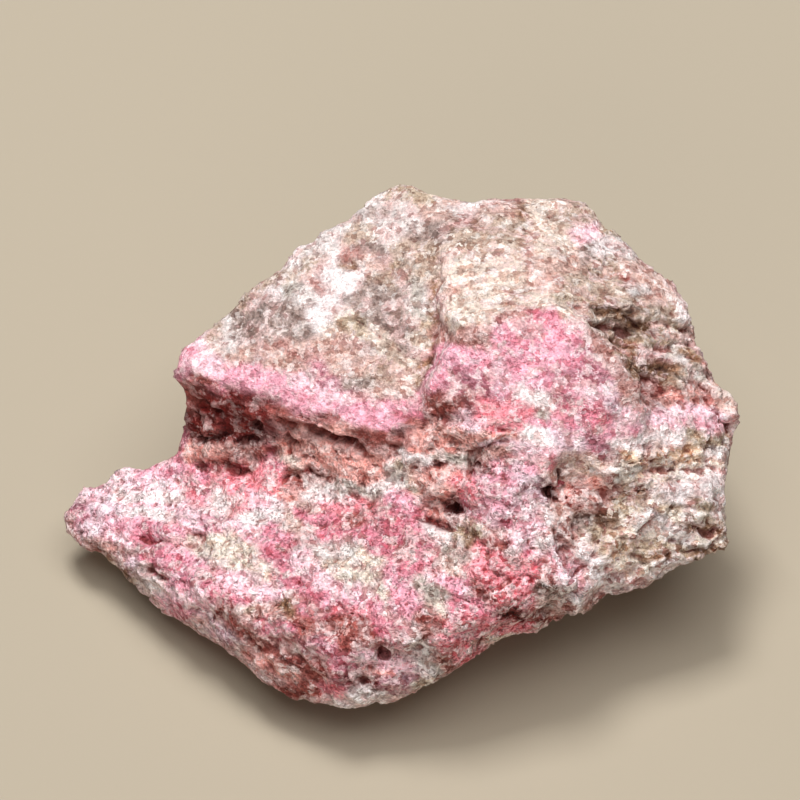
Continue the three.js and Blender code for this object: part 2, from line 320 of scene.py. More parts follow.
# Cracks, slots and folds: a line, width and depth.
GROOVES = [
    # The lip, and the wall under it.
    ([(-15.8, -5.4), (-12, -6.5), (-9.5, -7.2), (-5.4, -8.8)], 0.9, 3.0),
    ([(-36, 4.2), (-31, 3), (-27, 1.4), (-24, 1)], 0.5, 0.5),
    ([(-15.5, -2.4), (-13, -2.9), (-10.6, -2.8)], 0.5, 0.6),
    ([(-20, -2), (-14, -3.8), (-6, -5.4)], 0.4, 0.35),
    ([(-18.2, -4.6), (-18.4, -8.6)], 0.8, 0.9),
    ([(-35, -2), (-30, -2.8), (-22, -3.6)], 0.6, 0.4),
    ([(-34.8, -6), (-30.6, -6.6), (-27.4, -6)], 1.3, 1.6),
    ([(-26.6, -6.8), (-24, -6.6)], 0.9, 1.8),
    # Rubble below the wall.
    ([(-29, -9.8), (-27, -10.8), (-25.2, -12)], 1.0, 1.2),
    ([(-19.4, -13.6), (-17.6, -12.6), (-16.4, -13.6)], 1.0, 1.3),
    ([(-15.6, -11), (-13, -11.8)], 0.9, 1.3),
    ([(-22.6, -8.2), (-20.8, -8.6)], 0.6, 0.8),
    # The seam between cap and crown, and cracks in the cap.
    (SEAM, 0.9, 0.5),
    ([(-7, 13.6), (-5.8, 12.4)], 0.6, 0.9),
    ([(-6, 12.4), (-3, 10.5), (0.4, 7.6), (3.4, 5.2)], 0.5, 0.5),
    ([(-8.6, 22.4), (-6.8, 21.8)], 0.5, 0.5),
    # Ledges right of the crown.
    ([(25, 16.8), (28, 16.2), (32, 15.2), (35.6, 14.4), (38.6, 12.6), (41.6, 11)], 0.5, 0.6),
    ([(32.2, 14.4), (35.2, 13.6)], 0.6, 0.4),
    ([(31, 12.6), (34.6, 11.2), (38, 10.6)], 0.8, 0.9),
    ([(36.6, 10), (36.8, 7.4)], 1.0, 0.5),
    ([(45, 12), (46.8, 12.2), (48.6, 13)], 0.7, 1.1),
    ([(38.6, 9.4), (43, 8.8), (48, 9.6)], 0.6, 0.6),
    ([(46, 6.4), (49.2, 7.6)], 0.8, 0.5),
    ([(37.8, 6.4), (41, 5.6), (45, 4.8)], 0.6, 0.3),
    ([(39.6, 0.6), (44, 1)], 0.5, 0.4),
    ([(51.8, -1.8), (53, -3.4), (54.4, -5.4)], 1.1, 1.8),
    # Strata and slots of the flank.
    ([(33, -10.6), (38, -10), (43, -10), (53.4, -9.6)], 0.5, 0.6),
    ([(37, -12.2), (42, -10.9), (48, -11.1), (53, -10.6)], 0.6, 0.8),
    ([(36, -8.2), (42, -7.6), (50, -8.6)], 0.5, 0.4),
    ([(47.2, -20.1), (49.4, -21.3), (52, -20.6)], 0.8, 1.6),
    ([(45.4, -25.2), (50, -23.7), (54.2, -21.9)], 0.6, 0.9),
    ([(44, -16), (52, -17.6)], 0.5, 0.4),
    ([(37.4, -25.8), (45.6, -25)], 0.7, 0.7),
    # The middle.
    ([(15.8, -4.6), (18.4, -4.6)], 0.7, 0.8),
    ([(12, -6.8), (18.6, -6.2)], 0.6, 0.8),
    ([(12.2, -10), (13.6, -11.2), (15.4, -11.9)], 0.5, 0.7),
    ([(5, -11), (6.6, -11.2)], 0.7, 1.1),
    ([(2.6, -19.6), (7.2, -19.8), (11.8, -21.4)], 0.8, 0.8),
    ([(14, -24.8), (17.6, -23.2)], 0.9, 0.9),
    ([(22.8, -13.8), (24.6, -15.6)], 1.1, 0.9),
    # The toe.
    ([(-35.6, -16.6), (-33.2, -16.4)], 0.5, 0.6),
    ([(-42.8, -22.3), (-38.6, -22.9), (-36.8, -24)], 0.8, 1.0),
    ([(-42.2, -27.9), (-39.8, -28.8), (-37.4, -29.9)], 0.8, 1.4),
    ([(-34.4, -21.6), (-33, -22.4)], 0.9, 0.7),
    ([(-9, -19), (-7.6, -19.6)], 1.0, 0.5),
    ([(-35.6, -28.4), (-30.6, -29.8)], 0.5, 0.5),
    ([(-16.4, -36.6), (-14.4, -37.6)], 0.7, 0.4),
    ([(-12.8, -36.4), (-9, -35.6)], 0.8, 0.4),
    ([(-8, -45.2), (-4.2, -45.6)], 0.8, 0.8),
    ([(-19.4, -45.4), (-17.6, -45.2)], 0.7, 0.5),
    # The chin.
    ([(2.2, -35), (6.2, -35.8)], 0.7, 0.5),
    ([(15.6, -34.8), (18.8, -34.2)], 1.0, 1.3),
    ([(21, -34.8), (25.6, -34.8)], 0.8, 0.8),
    ([(11.4, -30), (14.6, -32.4), (15, -34)], 0.6, 0.6),
]

# Low ridges: a line, width and height.
RIDGES = [
    ([(14.6, -25.2), (18, -22.8), (22.4, -20.8)], 1.2, 0.8),
    ([(22.6, -20.6), (24.4, -23.8), (27, -27.6), (28.8, -31)], 1.3, 1.5),
    ([(-47, -23.4), (-33, -30), (-16.6, -37), (-9, -40.4), (5, -37), (16.6, -33.6)], 2.6, 0.6),
    ([(35.8, 6.6), (37.6, 3.6), (38.8, -0.6)], 0.9, 0.5),
    ([(-10.6, -48.2), (-4.6, -48)], 1.4, 0.6),
    ([(45, -26.2), (49.6, -24.8), (54.6, -22.8)], 0.7, 0.8),
]

# Breaks where the left side of the line, seen along it, stands higher: a line, height and reach.
STEPS = [
    (SEAM[::-1], -0.4, 5),
    ([(39, -1), (37.6, 4), (35.8, 6.6), (33, 10.6), (29, 13.6), (24, 15.2)], 1.9, 3.5),
    ([(25, 17.2), (32, 15.6), (38.6, 13), (48, 12.8)], 0.6, 3.4),
    ([(38.6, 9.6), (43, 9), (48.4, 9.6)], 0.5, 2.6),
    ([(39.4, -1.2), (44.6, 0), (49.6, 0.4), (55.4, -0.2)], 0.8, 2.6),
    ([(36, -10.6), (44, -10), (53, -9.4)], 0.6, 2.4),
    ([(-28, 6.4), (-20, 6.2), (-12, 2.4), (-3, 0.4)], 0.35, 3.5),
    ([(22.6, -20.6), (27, -27.6), (28.8, -31)], -1.4, 5),
]

# Broad swells and hollows: place, half width, half height and height.
SWELLS = [
    # On the faces.
    (24, 6, 11, 8, 1.2), (16, -3, 4.5, 2.6, 0.9), (6.5, -2, 3.6, 2.4, -0.9), (20, -14, 6, 4, 0.9),
    (-12, -9.6, 7, 2.6, 0.8), (-31.5, -8.4, 3.4, 2, 0.9), (7, -14, 5, 3, 0.8), (27, -23, 3, 4, -0.8),
    (46, -15, 7, 4, 0.8), (15, -28, 6, 4.5, 0.9), (9, -22.5, 3.4, 3.4, -0.7), (-2, -28, 6, 4, 0.7),
    (-27, -25, 6, 4, 0.6), (-19, -33.2, 2, 1.8, -0.3), (-9, -37, 6, 3, -0.7), (-22, -40, 8, 3, -0.5),
    (4, 0, 3, 4, -0.5), (20, 24, 8, 5, 0.5), (-16, 12, 4, 5, 0.4), (33, -17, 3, 4, -0.6),
    (8.4, -38.6, 3, 3, 0.7), (4, -38, 2, 3, -0.6), (-21, -22, 4, 3, 0.6),
    # Where a broken-out hollow of the CAD solid is too large, these partly fill it.
    (43, 3, 4, 2.8, 1.0), (24.6, -15.2, 2.8, 2.4, 1.0), (26, -12.4, 2, 1.8, 1.6),
    (25, -13.8, 1.8, 2.2, 0.9), (33.4, 13.4, 3.4, 2, 0.9), (12.4, -10.4, 2.6, 2, 1.3),
    (9, -17.4, 2.6, 2, 0.5),
    # Along the outline: the cap's knobs, the toe's brow, and worn edges.
    (-14, 29.6, 3.4, 2.6, 1.6), (-7.6, 33, 4, 2.4, 1.0), (-10.6, 31.6, 1.6, 1.6, -0.7),
    (-29, 13.6, 3.4, 3, -0.7), (-24, 17.4, 3.4, 3, -0.8), (-19, 22, 3, 3, -0.6),
    (-46, -11.4, 5, 2.4, 1.3), (-39.6, -10.6, 4, 2.2, 1.0), (35, 28.6, 3.4, 3, -0.9),
    (41.6, 23, 3.4, 3, -0.9), (47, 17.6, 3, 3, -0.8), (50, -26, 4, 2.6, -1.2),
    (42, -29.6, 4, 2.6, -1.2), (34, -32.8, 4, 2.6, -1.2), (26, -35.8, 4, 2.6, -1.2),
    (17, -39, 4, 2.6, -1.1), (4, -48, 4, 2.6, -1), (-5, -50, 4, 2.6, -0.9),
    (-15, -48, 4, 2.6, -0.9), (-24, -42.4, 4, 2.6, -0.8),
]

# Gas pits and broken-out hollows: place, half width, half height and depth.
PITS = [
    (8.4, -16.8, 0.8, 0.6, 1.7), (9.4, -17.6, 0.7, 0.6, 1.5), (-2.6, -40.6, 0.7, 0.8, 2.2),
    (-32.6, -11.2, 1.0, 0.6, 0.9), (-23.9, -4, 0.9, 0.8, 1.4), (-41.8, -22.4, 1.3, 1.0, 1.0),
    (-34, -0.4, 2.4, 1.4, 0.6),
]

FORM_STRAY, FORM_STRAY_LENGTH = 0.8, 6  # how far forms stray, and over what length
FORMS_FACING = (-0.35, 0.1)  # the facing between which they fade out, towards the back
GROOVE_WALL = 0.6  # share of a groove's width in which it falls off
GROOVE_FULLNESS, GROOVE_LEAST = 4, 0.06  # how soon it is full, and what is left at its ends
RIDGE_FULLNESS = 6
STEP_EDGE = 0.3  # half the width of a step's edge
STEP_FADE = 0.12  # share of a step that fades out at each end
SWELL_FALL = 1.5  # how quickly a swell falls off
PIT_FALL, PIT_WALL = 1.3, 1.5  # a pit has a flatter floor and steeper walls


def tapered(passed, fullness, least=0.0):
    """Full along the middle of a line, thin towards its ends."""
    return np.sqrt(np.clip(fullness * passed * (1 - passed), least, 1))


def show_forms(points, facing):
    """How far the listed forms move the surface outwards."""
    places = on_show(points) + FORM_STRAY * warp(points, FORM_STRAY_LENGTH, (11, 12), octaves=4)
    moved = np.zeros(len(points))
    for line, width, depth in GROOVES:
        distance, passed, _ = to_line(places, line)
        wall = bell(distance / (GROOVE_WALL * width))
        moved -= depth * tapered(passed, GROOVE_FULLNESS, GROOVE_LEAST) * wall
    for line, width, height in RIDGES:
        distance, passed, _ = to_line(places, line)
        moved += height * tapered(passed, RIDGE_FULLNESS) * bell(distance / width)
    for line, height, reach in STEPS:
        distance, passed, side = to_line(places, line)
        ends = smoothstep(passed, 0, STEP_FADE) * smoothstep(1 - passed, 0, STEP_FADE)
        edge = np.tanh(side * distance / STEP_EDGE) * np.exp(-distance / reach)
        moved += height / 2 * ends * edge
    for *oval, height in SWELLS:
        moved += height * np.exp(-SWELL_FALL * to_oval(places, *oval))
    for *oval, depth in PITS:
        moved -= depth * np.exp(-PIT_FALL * to_oval(places, *oval) ** PIT_WALL)
    return moved * smoothstep(facing, *FORMS_FACING)


# ---- kinds of ground ----

# How strong each kind of roughness is on each ground, in this order, and the angle of its streaks.
FACETS, BREAKS, STREAKS, CRUMBS, FLECKS = range(5)
GROUNDS = {
    "cap": ((0.15, 0.42, 0.20, 0.08, 0.95), 25),
    "lip": ((0.10, 0.26, 0.30, 0.03, 0.7), -17),
    "wall": ((0.15, 0.28, 0.75, 0.1, 0.45), -12),
    "rubble": ((0.50, 0.85, 0.35, 0.7, 0.9), -10),
    "toe": ((0.35, 0.75, 0.20, 0.7, 1.05), -25),
    "rim": ((0.30, 0.60, 0.50, 0.5, 1.0), -33),
    "crown": ((0.20, 0.50, 0.28, 0.05, 1.05), 18),
    "boss": ((0.18, 0.45, 0.20, 0.15, 1.0), -30),
    "ledges": ((0.35, 0.40, 0.65, 0.05, 1.0), -20),
    "flank": ((0.50, 0.70, 0.45, 0.15, 1.25), -12),
    "chin": ((0.50, 0.75, 0.25, 0.8, 1.3), 20),
    "back": ((0.60, 0.56, 0.35, 0.2, 1.0), 0),
}

# Where each ground is on the best side: patches as (across, up, across, up, radius).
GROUND_PATCHES = {
    "cap": [(-22, 12, -5, 10, 9), (-6, 24, 2, 28, 9), (-30, 9, -26, 12, 5), (0, 4, -16, 5, 5)],
    "lip": [(-36, 5.6, -24, 2.6, 2.2), (-22, 1.6, -8, -2.6, 2.2), (-6, -3, 1.6, -1, 2)],
    "wall": [(-34.6, 0, -20, -2.4, 2.4), (-18, -4.6, -4, -7, 1.6), (0, -6, 3, -4, 2)],
    "rubble": [(-33, -8, -22, -8, 3), (-18, -8.6, 4, -12, 3), (6, -4, 14, -8, 5), (-8, -13, 4, -14, 3)],
    "toe": [(-48, -17, -20, -20, 9), (-30, -26, 0, -26, 9), (4, -20, 10, -28, 8), (-12, -33, 4, -34, 6)],
    "rim": [(-50, -24, -34, -33, 2.4), (-32, -35, -16, -44, 3), (-14, -45, 0, -47, 3)],
    "crown": [(10, 29, 26, 30, 7), (12, 20, 30, 22, 8), (34, 25, 44, 18, 5)],
    "boss": [(12, 6, 28, 8, 8), (18, -1, 32, -2, 6), (34, -4, 46, -5, 3)],
    "ledges": [(32, 15, 46, 12, 4), (38, 8, 48, 5, 5), (42, 0, 53, 0, 2)],
    "flank": [(38, -16, 50, -14, 7), (32, -22, 46, -22, 6), (30, -28, 38, -28, 3), (44, -9, 52, -9, 3)],
    "chin": [(14, -30, 22, -28, 7), (6, -40, 18, -36, 5), (4, -43, 10, -42, 4)],
}

GROUND_STRAY, GROUND_STRAY_LENGTH = 1.6, 9  # how far their edges stray, and over what length
GROUND_SHARPNESS = 6  # how sharply one ground gives way to the next
GROUNDS_FACING = (-0.05, 0.2)  # the back's own ground takes over between these
LEAST_SHARE = 0.01  # a ground with less than this adds no streaks

# The relief. Its facets are large blocks and small chips, each with a size, slope and rise.
RELIEF_STRAY, RELIEF_STRAY_LENGTH = 0.8, 4
BLOCKS = (6.5, 0.28, 0.4)
CHIPS = (2.8, 0.28, 0.25)
BREAK_SIZE, BREAK_HEIGHT, BREAK_GAIN = 9, 1.2, 0.56
STREAK_SIZE, STREAK_HEIGHT, STREAKS_DRAWN = 3.0, 1.6, 4  # 4 times longer than they are thick
CRUMB_SIZE, CRUMB_DEPTH = 1.8, 0.7
CRUMB_NOISE = (0.35, 0.95)  # where a gap between crumbs starts, and where it is deepest
RELIEF_SINK = 0.3  # keeps the whole relief about level with the CAD solid
LAYER_SIZE, LAYERS_DRAWN = 1.5, 5  # the thin lighter and darker layers


def bedded(points, ratio):
    """Points pulled apart across the rock's layers, so that noise there is thinner across them."""
    return points + (ratio - 1) * np.outer(points @ BEDDING, BEDDING)


def drawn_out(points, name, stretch):
    """Points squeezed along a ground's streaks, so that noise there is drawn out along them."""
    if name == "back":
        return bedded(points, stretch)
    lean = math.radians(GROUNDS[name][1])
    direction = math.cos(lean) * ACROSS + math.sin(lean) * UP
    return points - (1 - 1 / stretch) * np.outer(points @ direction, direction)


def ground_shares(points, facing):
    """How much of each ground is at each point, by its name."""
    places = on_show(points) + GROUND_STRAY * warp(points, GROUND_STRAY_LENGTH, (21, 22))
    distances = [to_patches(places, patches) for patches in GROUND_PATCHES.values()]
    shown = shares(distances, GROUND_SHARPNESS)
    seen = smoothstep(facing, *GROUNDS_FACING)
    result = {name: share * seen for name, share in zip(GROUND_PATCHES, shown)}
    result["back"] = 1 - seen
    return result


def roughness(grounds, kind):
    """How strong one kind of roughness is at each point."""
    return sum(share * GROUNDS[name][0][kind] for name, share in grounds.items())


def streaked(points, grounds, stretch, pattern):
    """A pattern drawn out along the streaks of each ground, and as strong as they are there."""
    total = np.zeros(len(points))
    for name, share in grounds.items():
        where = share > LEAST_SHARE
        drawn = drawn_out(points[where], name, stretch)
        total[where] += share[where] * GROUNDS[name][0][STREAKS] * pattern(drawn)
    return total


def relief(points, grounds):
    """The broken surface of the rock: facets, crests and hollows, drawn-out streaks and crumbs."""
    warped = points + RELIEF_STRAY * warp(points, RELIEF_STRAY_LENGTH, (31, 32, 33))
    flats = facets(warped, *BLOCKS, seed=41) + facets(warped, *CHIPS, seed=45)
    breaks = BREAK_HEIGHT * broken(warped, BREAK_SIZE, 101, octaves=5, gain=BREAK_GAIN)
    streaks = STREAK_HEIGHT * streaked(
        points, grounds, STREAKS_DRAWN, lambda drawn: broken(drawn, STREAK_SIZE, 51, octaves=3)
    )
    gaps = CRUMB_DEPTH * smoothstep(layered(points, CRUMB_SIZE, 61), *CRUMB_NOISE)
    moved = roughness(grounds, FACETS) * flats + roughness(grounds, BREAKS) * breaks + streaks
    return moved - roughness(grounds, CRUMBS) * gaps - RELIEF_SINK


def layers_of(points, grounds):
    """Thin lighter and darker layers, drawn out along the streaks of each ground."""
    return streaked(points, grounds, LAYERS_DRAWN, lambda drawn: layered(drawn, LAYER_SIZE, 97))


# ---- minerals ----

# Each mineral's colour, tuned by comparing average colours of the render and the photograph.
MINERALS = {
    "chalk": "#F0E2E2",
    "frost": "#D5C9C6",
    "cream": "#DBC7BA",
    "oat": "#E9DBCD",
    "slate": "#B5AAA2",
    "ash": "#9B8780",
    "sand": "#B69F90",
    "clay": "#CBA99F",
    "husk": "#B59F8A",
    # Brown, partly the rock's own colour and partly painted shade along the seam and in slots.
    "umber": "#87634A",
    # Dark red, partly the rock's own colour and partly painted shade under the lip and in slots and
    # pits.
    "maroon": "#65100A",
    "brick": "#985049",
    "blush": "#F4CAD5",
    "lilac": "#DFC0CB",
    "pink": "#E4A1B2",
    "rose": "#D48192",
    "mauve": "#B87A88",
    "dusk": "#B3847D",
    "coral": "#EA929D",
    "salmon": "#E5A59C",
    "ochre": "#D8B69B",
}

# Where they are on the best side: patches as (across, up, across, up, radius), which are short
# lines with that radius around them. They were placed from the photograph, and some were
# changed where a patch's average colour differed from it. Noise makes their edges ragged.
MINERAL_PATCHES = {
    "chalk": [
        (-18.3, 22, -18.3, 22, 1.3), (-21.8, 17.9, -20, 17.6, 0.6), (-11.5, 20.6, -7, 20.4, 1.3),
        (-9, 19, -11.5, 16.5, 1.5), (-12.5, 15.5, -12.8, 13, 1.4), (33, 24.4, 33.6, 26, 0.9),
        (46, 14.6, 47.6, 13.2, 1.2), (19.4, 0.6, 23, 0, 0.8), (20.4, -5.2, 23.4, -6.6, 1.1),
        (36, -7, 45, -6, 1.4), (46, -13.2, 50, -14, 1.0), (43.6, -15.2, 46, -15.8, 1.1),
        (39, -19.4, 42, -20, 1.2), (30, -24, 30.4, -23.4, 0.8), (32, -26.6, 33.6, -25.8, 0.8),
        (31, -28.4, 34, -30, 1.0), (42, -27.6, 45, -27, 0.8), (52.8, -15, 53.2, -16.6, 1.2),
        (27.6, -31, 28.6, -32.2, 1.3), (-4, -13.8, 0, -13, 0.9), (1, -9.4, 4, -9.6, 0.7),
        (-15, -15.6, -9, -15.8, 0.6), (22.4, -18, 24.4, -18.8, 1.0), (22, -21.4, 23.6, -24, 0.8),
        (5.6, -21.4, 8, -22.4, 1.0), (-11, -48.8, -7, -49.2, 0.7), (-8, -46.6, -4, -48, 1.1),
        (-30, -16, -28.6, -16.4, 0.8), (-20.4, -17.6, -19.6, -18.6, 1.1),
        (-46, -15.6, -38, -16, 1.2), (-44, -18.4, -38, -18.6, 1.0), (-25, -19.4, -23, -19, 0.9),
        (-42, -30, -39, -31.4, 0.7),
    ],
    "frost": [
        (-6.6, 33.6, -4, 32.6, 1.6), (-12, 28.6, -9, 28, 1.0), (-15.6, 26.4, -14.6, 23.6, 0.9),
        (-13.6, 26.6, -11.8, 25, 1.2), (2, 29.4, 2.6, 28.4, 0.8), (9, 31.6, 13, 32.6, 0.8),
        (-20.6, 13.4, -19.6, 13, 0.8), (-16.5, 16.8, -14, 16, 1.0), (-29, 13.4, -28, 11.6, 0.9),
        (-28.6, 9.6, -27.4, 9, 0.8), (11.6, 20.6, 13, 19.4, 1.0), (3.4, 16.4, 4.6, 15.4, 0.8),
        (36.6, 27, 38, 24.4, 1.1), (38.6, 17.6, 40, 18, 0.9), (45, 7, 46, 6.6, 0.6),
        (50.6, -8.4, 53, -8.8, 0.9), (44, -22, 46.6, -21.6, 0.9), (-15, -13.6, -11, -14.4, 0.9),
        (-13.6, -24.8, -8, -24.2, 0.9), (2.6, -38, 4.6, -40, 1.0), (3, -41.4, 4.4, -43.6, 1.1),
        (-0.6, 31, 0.6, 32.6, 0.9), (-3.6, 29, -1, 26.6, 1.5),
    ],
    "cream": [
        (8, 22, 14, 20, 2.6), (12, 17.5, 18, 19, 2.0), (22.5, 29, 24.5, 26, 2.2),
        (15, 24.5, 18, 24, 1.6), (10, 15, 16, 15.4, 1.2), (7, 14.6, 9, 13.4, 0.8),
        (8, 12.5, 14, 12.4, 1.0), (19, 16.6, 23, 16, 1.0), (26.6, 15, 31, 14.6, 0.9),
        (-12, 12, -11.4, 10.6, 1.1), (-5, 11, -3, 10, 0.9), (0.4, 6.6, 2, 5.6, 0.7),
        (22, 32.4, 25, 31.6, 0.8), (51.6, 1.6, 53, 0.6, 0.7), (27, -11.4, 32, -11.6, 1.0),
        (-18.6, -10, -17, -11.4, 1.0), (-12, -26.6, -9.6, -26, 0.8),
        (-34.4, -22.8, -33, -23.6, 0.8),
    ],
    "oat": [
        (41, -12.4, 47, -12.6, 0.9), (40, -11, 52, -10.6, 0.6), (44, -18.6, 50, -18.8, 0.9),
        (48, -22, 52, -22.4, 0.7), (53, -17.4, 53.2, -19, 1.0), (40, -16.4, 42, -16.6, 0.8),
        (36, -21, 42, -21, 1.3), (36, -11.6, 39, -12.6, 0.9), (36, -26, 40, -27.4, 1.1),
        (-31, -22.6, -26.6, -23.4, 1.6), (-30, -25.4, -27, -26, 1.2),
        (-25.4, -24.4, -24, -26.6, 1.5), (-24, -28, -21.4, -28.4, 1.0), (-10, -27.6, -5, -28, 1.5),
        (-5, -29.6, -3, -30.6, 1.0), (-6, -25.6, -3, -26, 1.0), (5.6, -32, 6.8, -33.4, 0.8),
        (12, -39, 19, -38, 0.7), (-26, -33.4, -24, -33.8, 0.8), (2, -46.2, 5, -45.6, 0.6),
    ],
    "slate": [
        (-18.4, 18, -16.6, 17.4, 1.0), (2, 18, 2.6, 16.4, 0.9), (2.4, 14.6, 3.6, 13.6, 0.9),
        (1.4, 18.8, 2.2, 19.6, 0.7), (43.6, 8.4, 45.4, 9, 0.7), (47, 4.4, 50, 3.6, 0.9),
        (35, -12, 38, -10.6, 0.9), (5, -9, 11, -9.4, 0.8), (-10, -14.4, -4.6, -14.8, 0.9),
        (-2, -11.6, 0, -12.4, 0.9), (8, -24, 10.4, -25.4, 1.2), (3.6, -29, 6, -31, 1.3),
        (-32.4, -25, -31.4, -25.6, 0.7), (4.4, -41.6, 6, -43, 0.9), (22.4, -2.2, 23.4, -2.8, 0.7),
    ],
    "ash": [
        (-26, 13, -17, 12, 2.5), (-22, 15.6, -17.6, 15, 1.6), (-24, 11, -19, 10.6, 1.0),
        (-9, 17.6, -6.6, 15.4, 2.2), (-6, 17, -2, 18.6, 1.6), (-3.5, 15, -1, 12, 1.6),
        (0, 13, 2, 11.6, 1.2), (-1, 17, 0.6, 15.4, 1.5), (0, 9.4, 1, 8, 1.0), (-8, 9, -6, 8, 1.0),
        (-8, 3.4, -5.6, 2.4, 1.2), (1.5, 26.5, 7, 28.5, 1.8), (-6, 25.4, -3.4, 25, 1.0),
        (-5, 31, -2.5, 30.6, 1.4), (30, 24, 32, 25, 1.4), (28.6, -19, 30.4, -20.6, 1.2),
        (22, -31, 26, -31.6, 1.2), (0.6, 23.4, 2, 22.4, 1.0),
    ],
    "sand": [
        (-21, 20, -18, 21.2, 1.0), (-15.2, 21.4, -14.8, 22, 1.2), (-25, 18, -22, 19, 1.0),
        (-28.5, 15, -26.5, 15.6, 0.9), (-31.2, 13.6, -30.6, 9.4, 0.8), (-8, 27.4, -5, 27.4, 1.0),
        (0.6, 25, 4, 24, 1.3), (2, 22, 4, 21, 1.2), (-4, 19.8, -2, 19.8, 1.0), (-3, 9, -1, 8, 0.8),
        (10, 26, 18, 27, 1.5), (13, 28.6, 17, 29.4, 0.9), (27, 30, 30, 31, 1.4),
        (28, 19, 31.4, 18, 1.6), (33, 21.4, 35, 19.6, 1.4), (32, 17.6, 39, 16.6, 0.8),
        (32, 12.4, 35, 11.6, 1.0), (40, 14.4, 45, 14.4, 1.0), (-4, 4.6, -2, 4.4, 1.2),
        (43, 2.6, 46, 3.6, 0.5), (-1, 7, -0.4, 6, 0.6), (2, 10, 4, 8.6, 0.9),
    ],
    "clay": [
        (6.5, 33, 8.6, 33, 0.8), (5, 31, 8, 30, 1.2), (-14, 29.8, -10.6, 30.2, 1.0),
        (-5, 22.8, -2.6, 21.4, 1.2), (-5.6, 20.6, -3.6, 20.8, 0.6), (-27, 7.4, -22, 7.6, 1.3),
        (-17, 9.4, -14, 9.4, 0.9), (-13, 9.4, -9, 8.6, 1.5), (-9.6, 6, -5, 5.4, 1.4),
        (-2, 4.4, 0, 4, 1.2), (-3, 1.4, 1, 1.8, 1.2), (-19, 5.8, -15, 5.4, 1.0),
        (7.4, 20, 8.6, 18, 0.8), (14, 31.6, 19, 31, 0.9), (26, 32.4, 28, 31.8, 0.7),
        (24, 22.6, 28, 22, 1.5), (22, 20, 25, 18.4, 1.3), (38, 22, 43, 18.6, 1.4),
        (40, 16.6, 45, 16, 0.9), (47, 11.6, 49, 11.4, 0.9), (52.4, -0.6, 55, -0.8, 0.9),
        (25.6, -17.4, 28.6, -18.4, 1.1), (27, -9.4, 31, -9, 0.8), (25.6, -12.6, 27, -12, 0.8),
        (-13, -17.6, -15.6, -17.4, 0.9), (-18.6, -19, -17, -20, 0.8), (7.6, -26.6, 8.6, -27.6, 0.9),
    ],
    "husk": [
        (-9, 13, -6.5, 11.4, 1.2), (-2, 20.6, -0.5, 21.6, 0.9), (0, 34.8, 4, 33.6, 1.3),
        (3.6, 12.6, 5, 10.6, 0.9), (41, 12.6, 45, 12.2, 0.7), (38.4, 10, 42.6, 9.6, 0.8),
        (25, 17.2, 30, 16.4, 0.6), (34, 27.6, 35, 29, 1.2), (46.6, -5.6, 52, -6.4, 1.0),
        (46, -16, 51, -17, 1.0), (42, -17.6, 45, -17.4, 1.0), (34, -24, 38, -23.6, 1.2),
        (35.6, -17.4, 39, -19, 1.5), (40, -23.6, 45, -24, 1.1), (30.6, -21, 33, -22.6, 1.2),
        (1, -11.4, 2.4, -14.6, 0.9), (8.6, -22, 12, -21, 1.0),
    ],
    "umber": [
        # Along the seam: painted shade of the step there.
        (6, 24, 5.9, 19, 0.7), (5.9, 19, 5.1, 15.7, 0.7), (5.1, 15.7, 5.6, 11.5, 0.7),
        (5.6, 11.5, 4.9, 6.9, 0.8), (4.9, 6.9, 3.4, 3.6, 0.7), (3.4, 3.6, 1.6, 1, 0.45),
        # Elsewhere: brown, partly the rock's own colour and partly painted shade, most of it in slots
        # and in the recess right of the boss.
        (19.8, 31.4, 20.8, 29.6, 1.1), (31.5, 15, 37, 13.6, 0.9), (35, 9.6, 37.4, 7.4, 1.7),
        (37.4, 12, 40, 11, 0.7), (45.6, 8, 48.6, 6.4, 1.1), (38.4, 5.2, 44.6, 3.6, 1.6),
        (27, 22.4, 28, 22.6, 0.9), (3, 5.2, 3.6, 4.6, 0.8), (37, -13, 39, -15, 1.2),
        (32.6, -18, 34.4, -19.4, 1.2), (47.4, -20.4, 52, -20.8, 0.6), (40, -25.4, 44, -25, 1.0),
        (46, -25.4, 54, -22.8, 0.9), (-19, -32.4, -17.6, -34, 1.4), (-19.4, -33, -18.6, -33.6, 1.0),
        (-50, -25.6, -40, -31.6, 0.5), (-10, 22, -7.4, 22.2, 0.7), (10, -23, 12, -22, 0.7),
    ],
    # Painted shade as well as the rock's dark red: the wall under the lip's overhang, and the deep slots
    # and pits.
    "maroon": [
        (-34.6, -1, -22.6, -2.4, 2.0), (-27, 1.4, -22, 0, 1.2), (-34, -5.4, -28, -6, 1.7),
        (3.6, -2.8, 7.4, -3.2, 0.8), (10.4, -1.4, 11.4, -1.6, 1.3), (-33, -11.4, -32, -11, 0.5),
        (-15.4, -11.4, -13, -11.8, 0.7), (12.4, -10.6, 15, -11.6, 0.7), (5, -11, 6.6, -11.2, 1.1),
        (8, -16.6, 9.8, -17.8, 0.8), (22.8, -13.8, 24.8, -15.6, 0.9), (16, -34.4, 19, -34.4, 1.1),
        (-8, -45.2, -4, -45.8, 1.6), (5, -19.4, 8, -19.8, 0.8), (-34, -3.6, -24, -4.4, 1.2),
    ],
    "brick": [
        (-36.4, 2.4, -34.6, 0, 1.5), (-34, 3.6, -30, 2.6, 0.6), (-21, -1.6, -17, -4.2, 1.0),
        (-16.4, -3, -10.6, -2.8, 0.6), (-8, -5.6, -1, -6.4, 1.0), (-1, -7.4, 1.6, -5, 1.1),
        (4, -0.6, 9, -1.2, 1.2), (39, 1.8, 42, 1.8, 1.0), (36, 20.4, 37, 19.6, 0.7),
        (14, -23.6, 18, -24, 0.7), (12, -30, 14, -31, 0.9), (21.6, -35, 26, -35.6, 0.7),
        (22.6, -28.2, 24, -28.8, 0.8), (27, -16, 29, -16.4, 1.0), (-17.6, -12.8, -16.4, -13.6, 1.3),
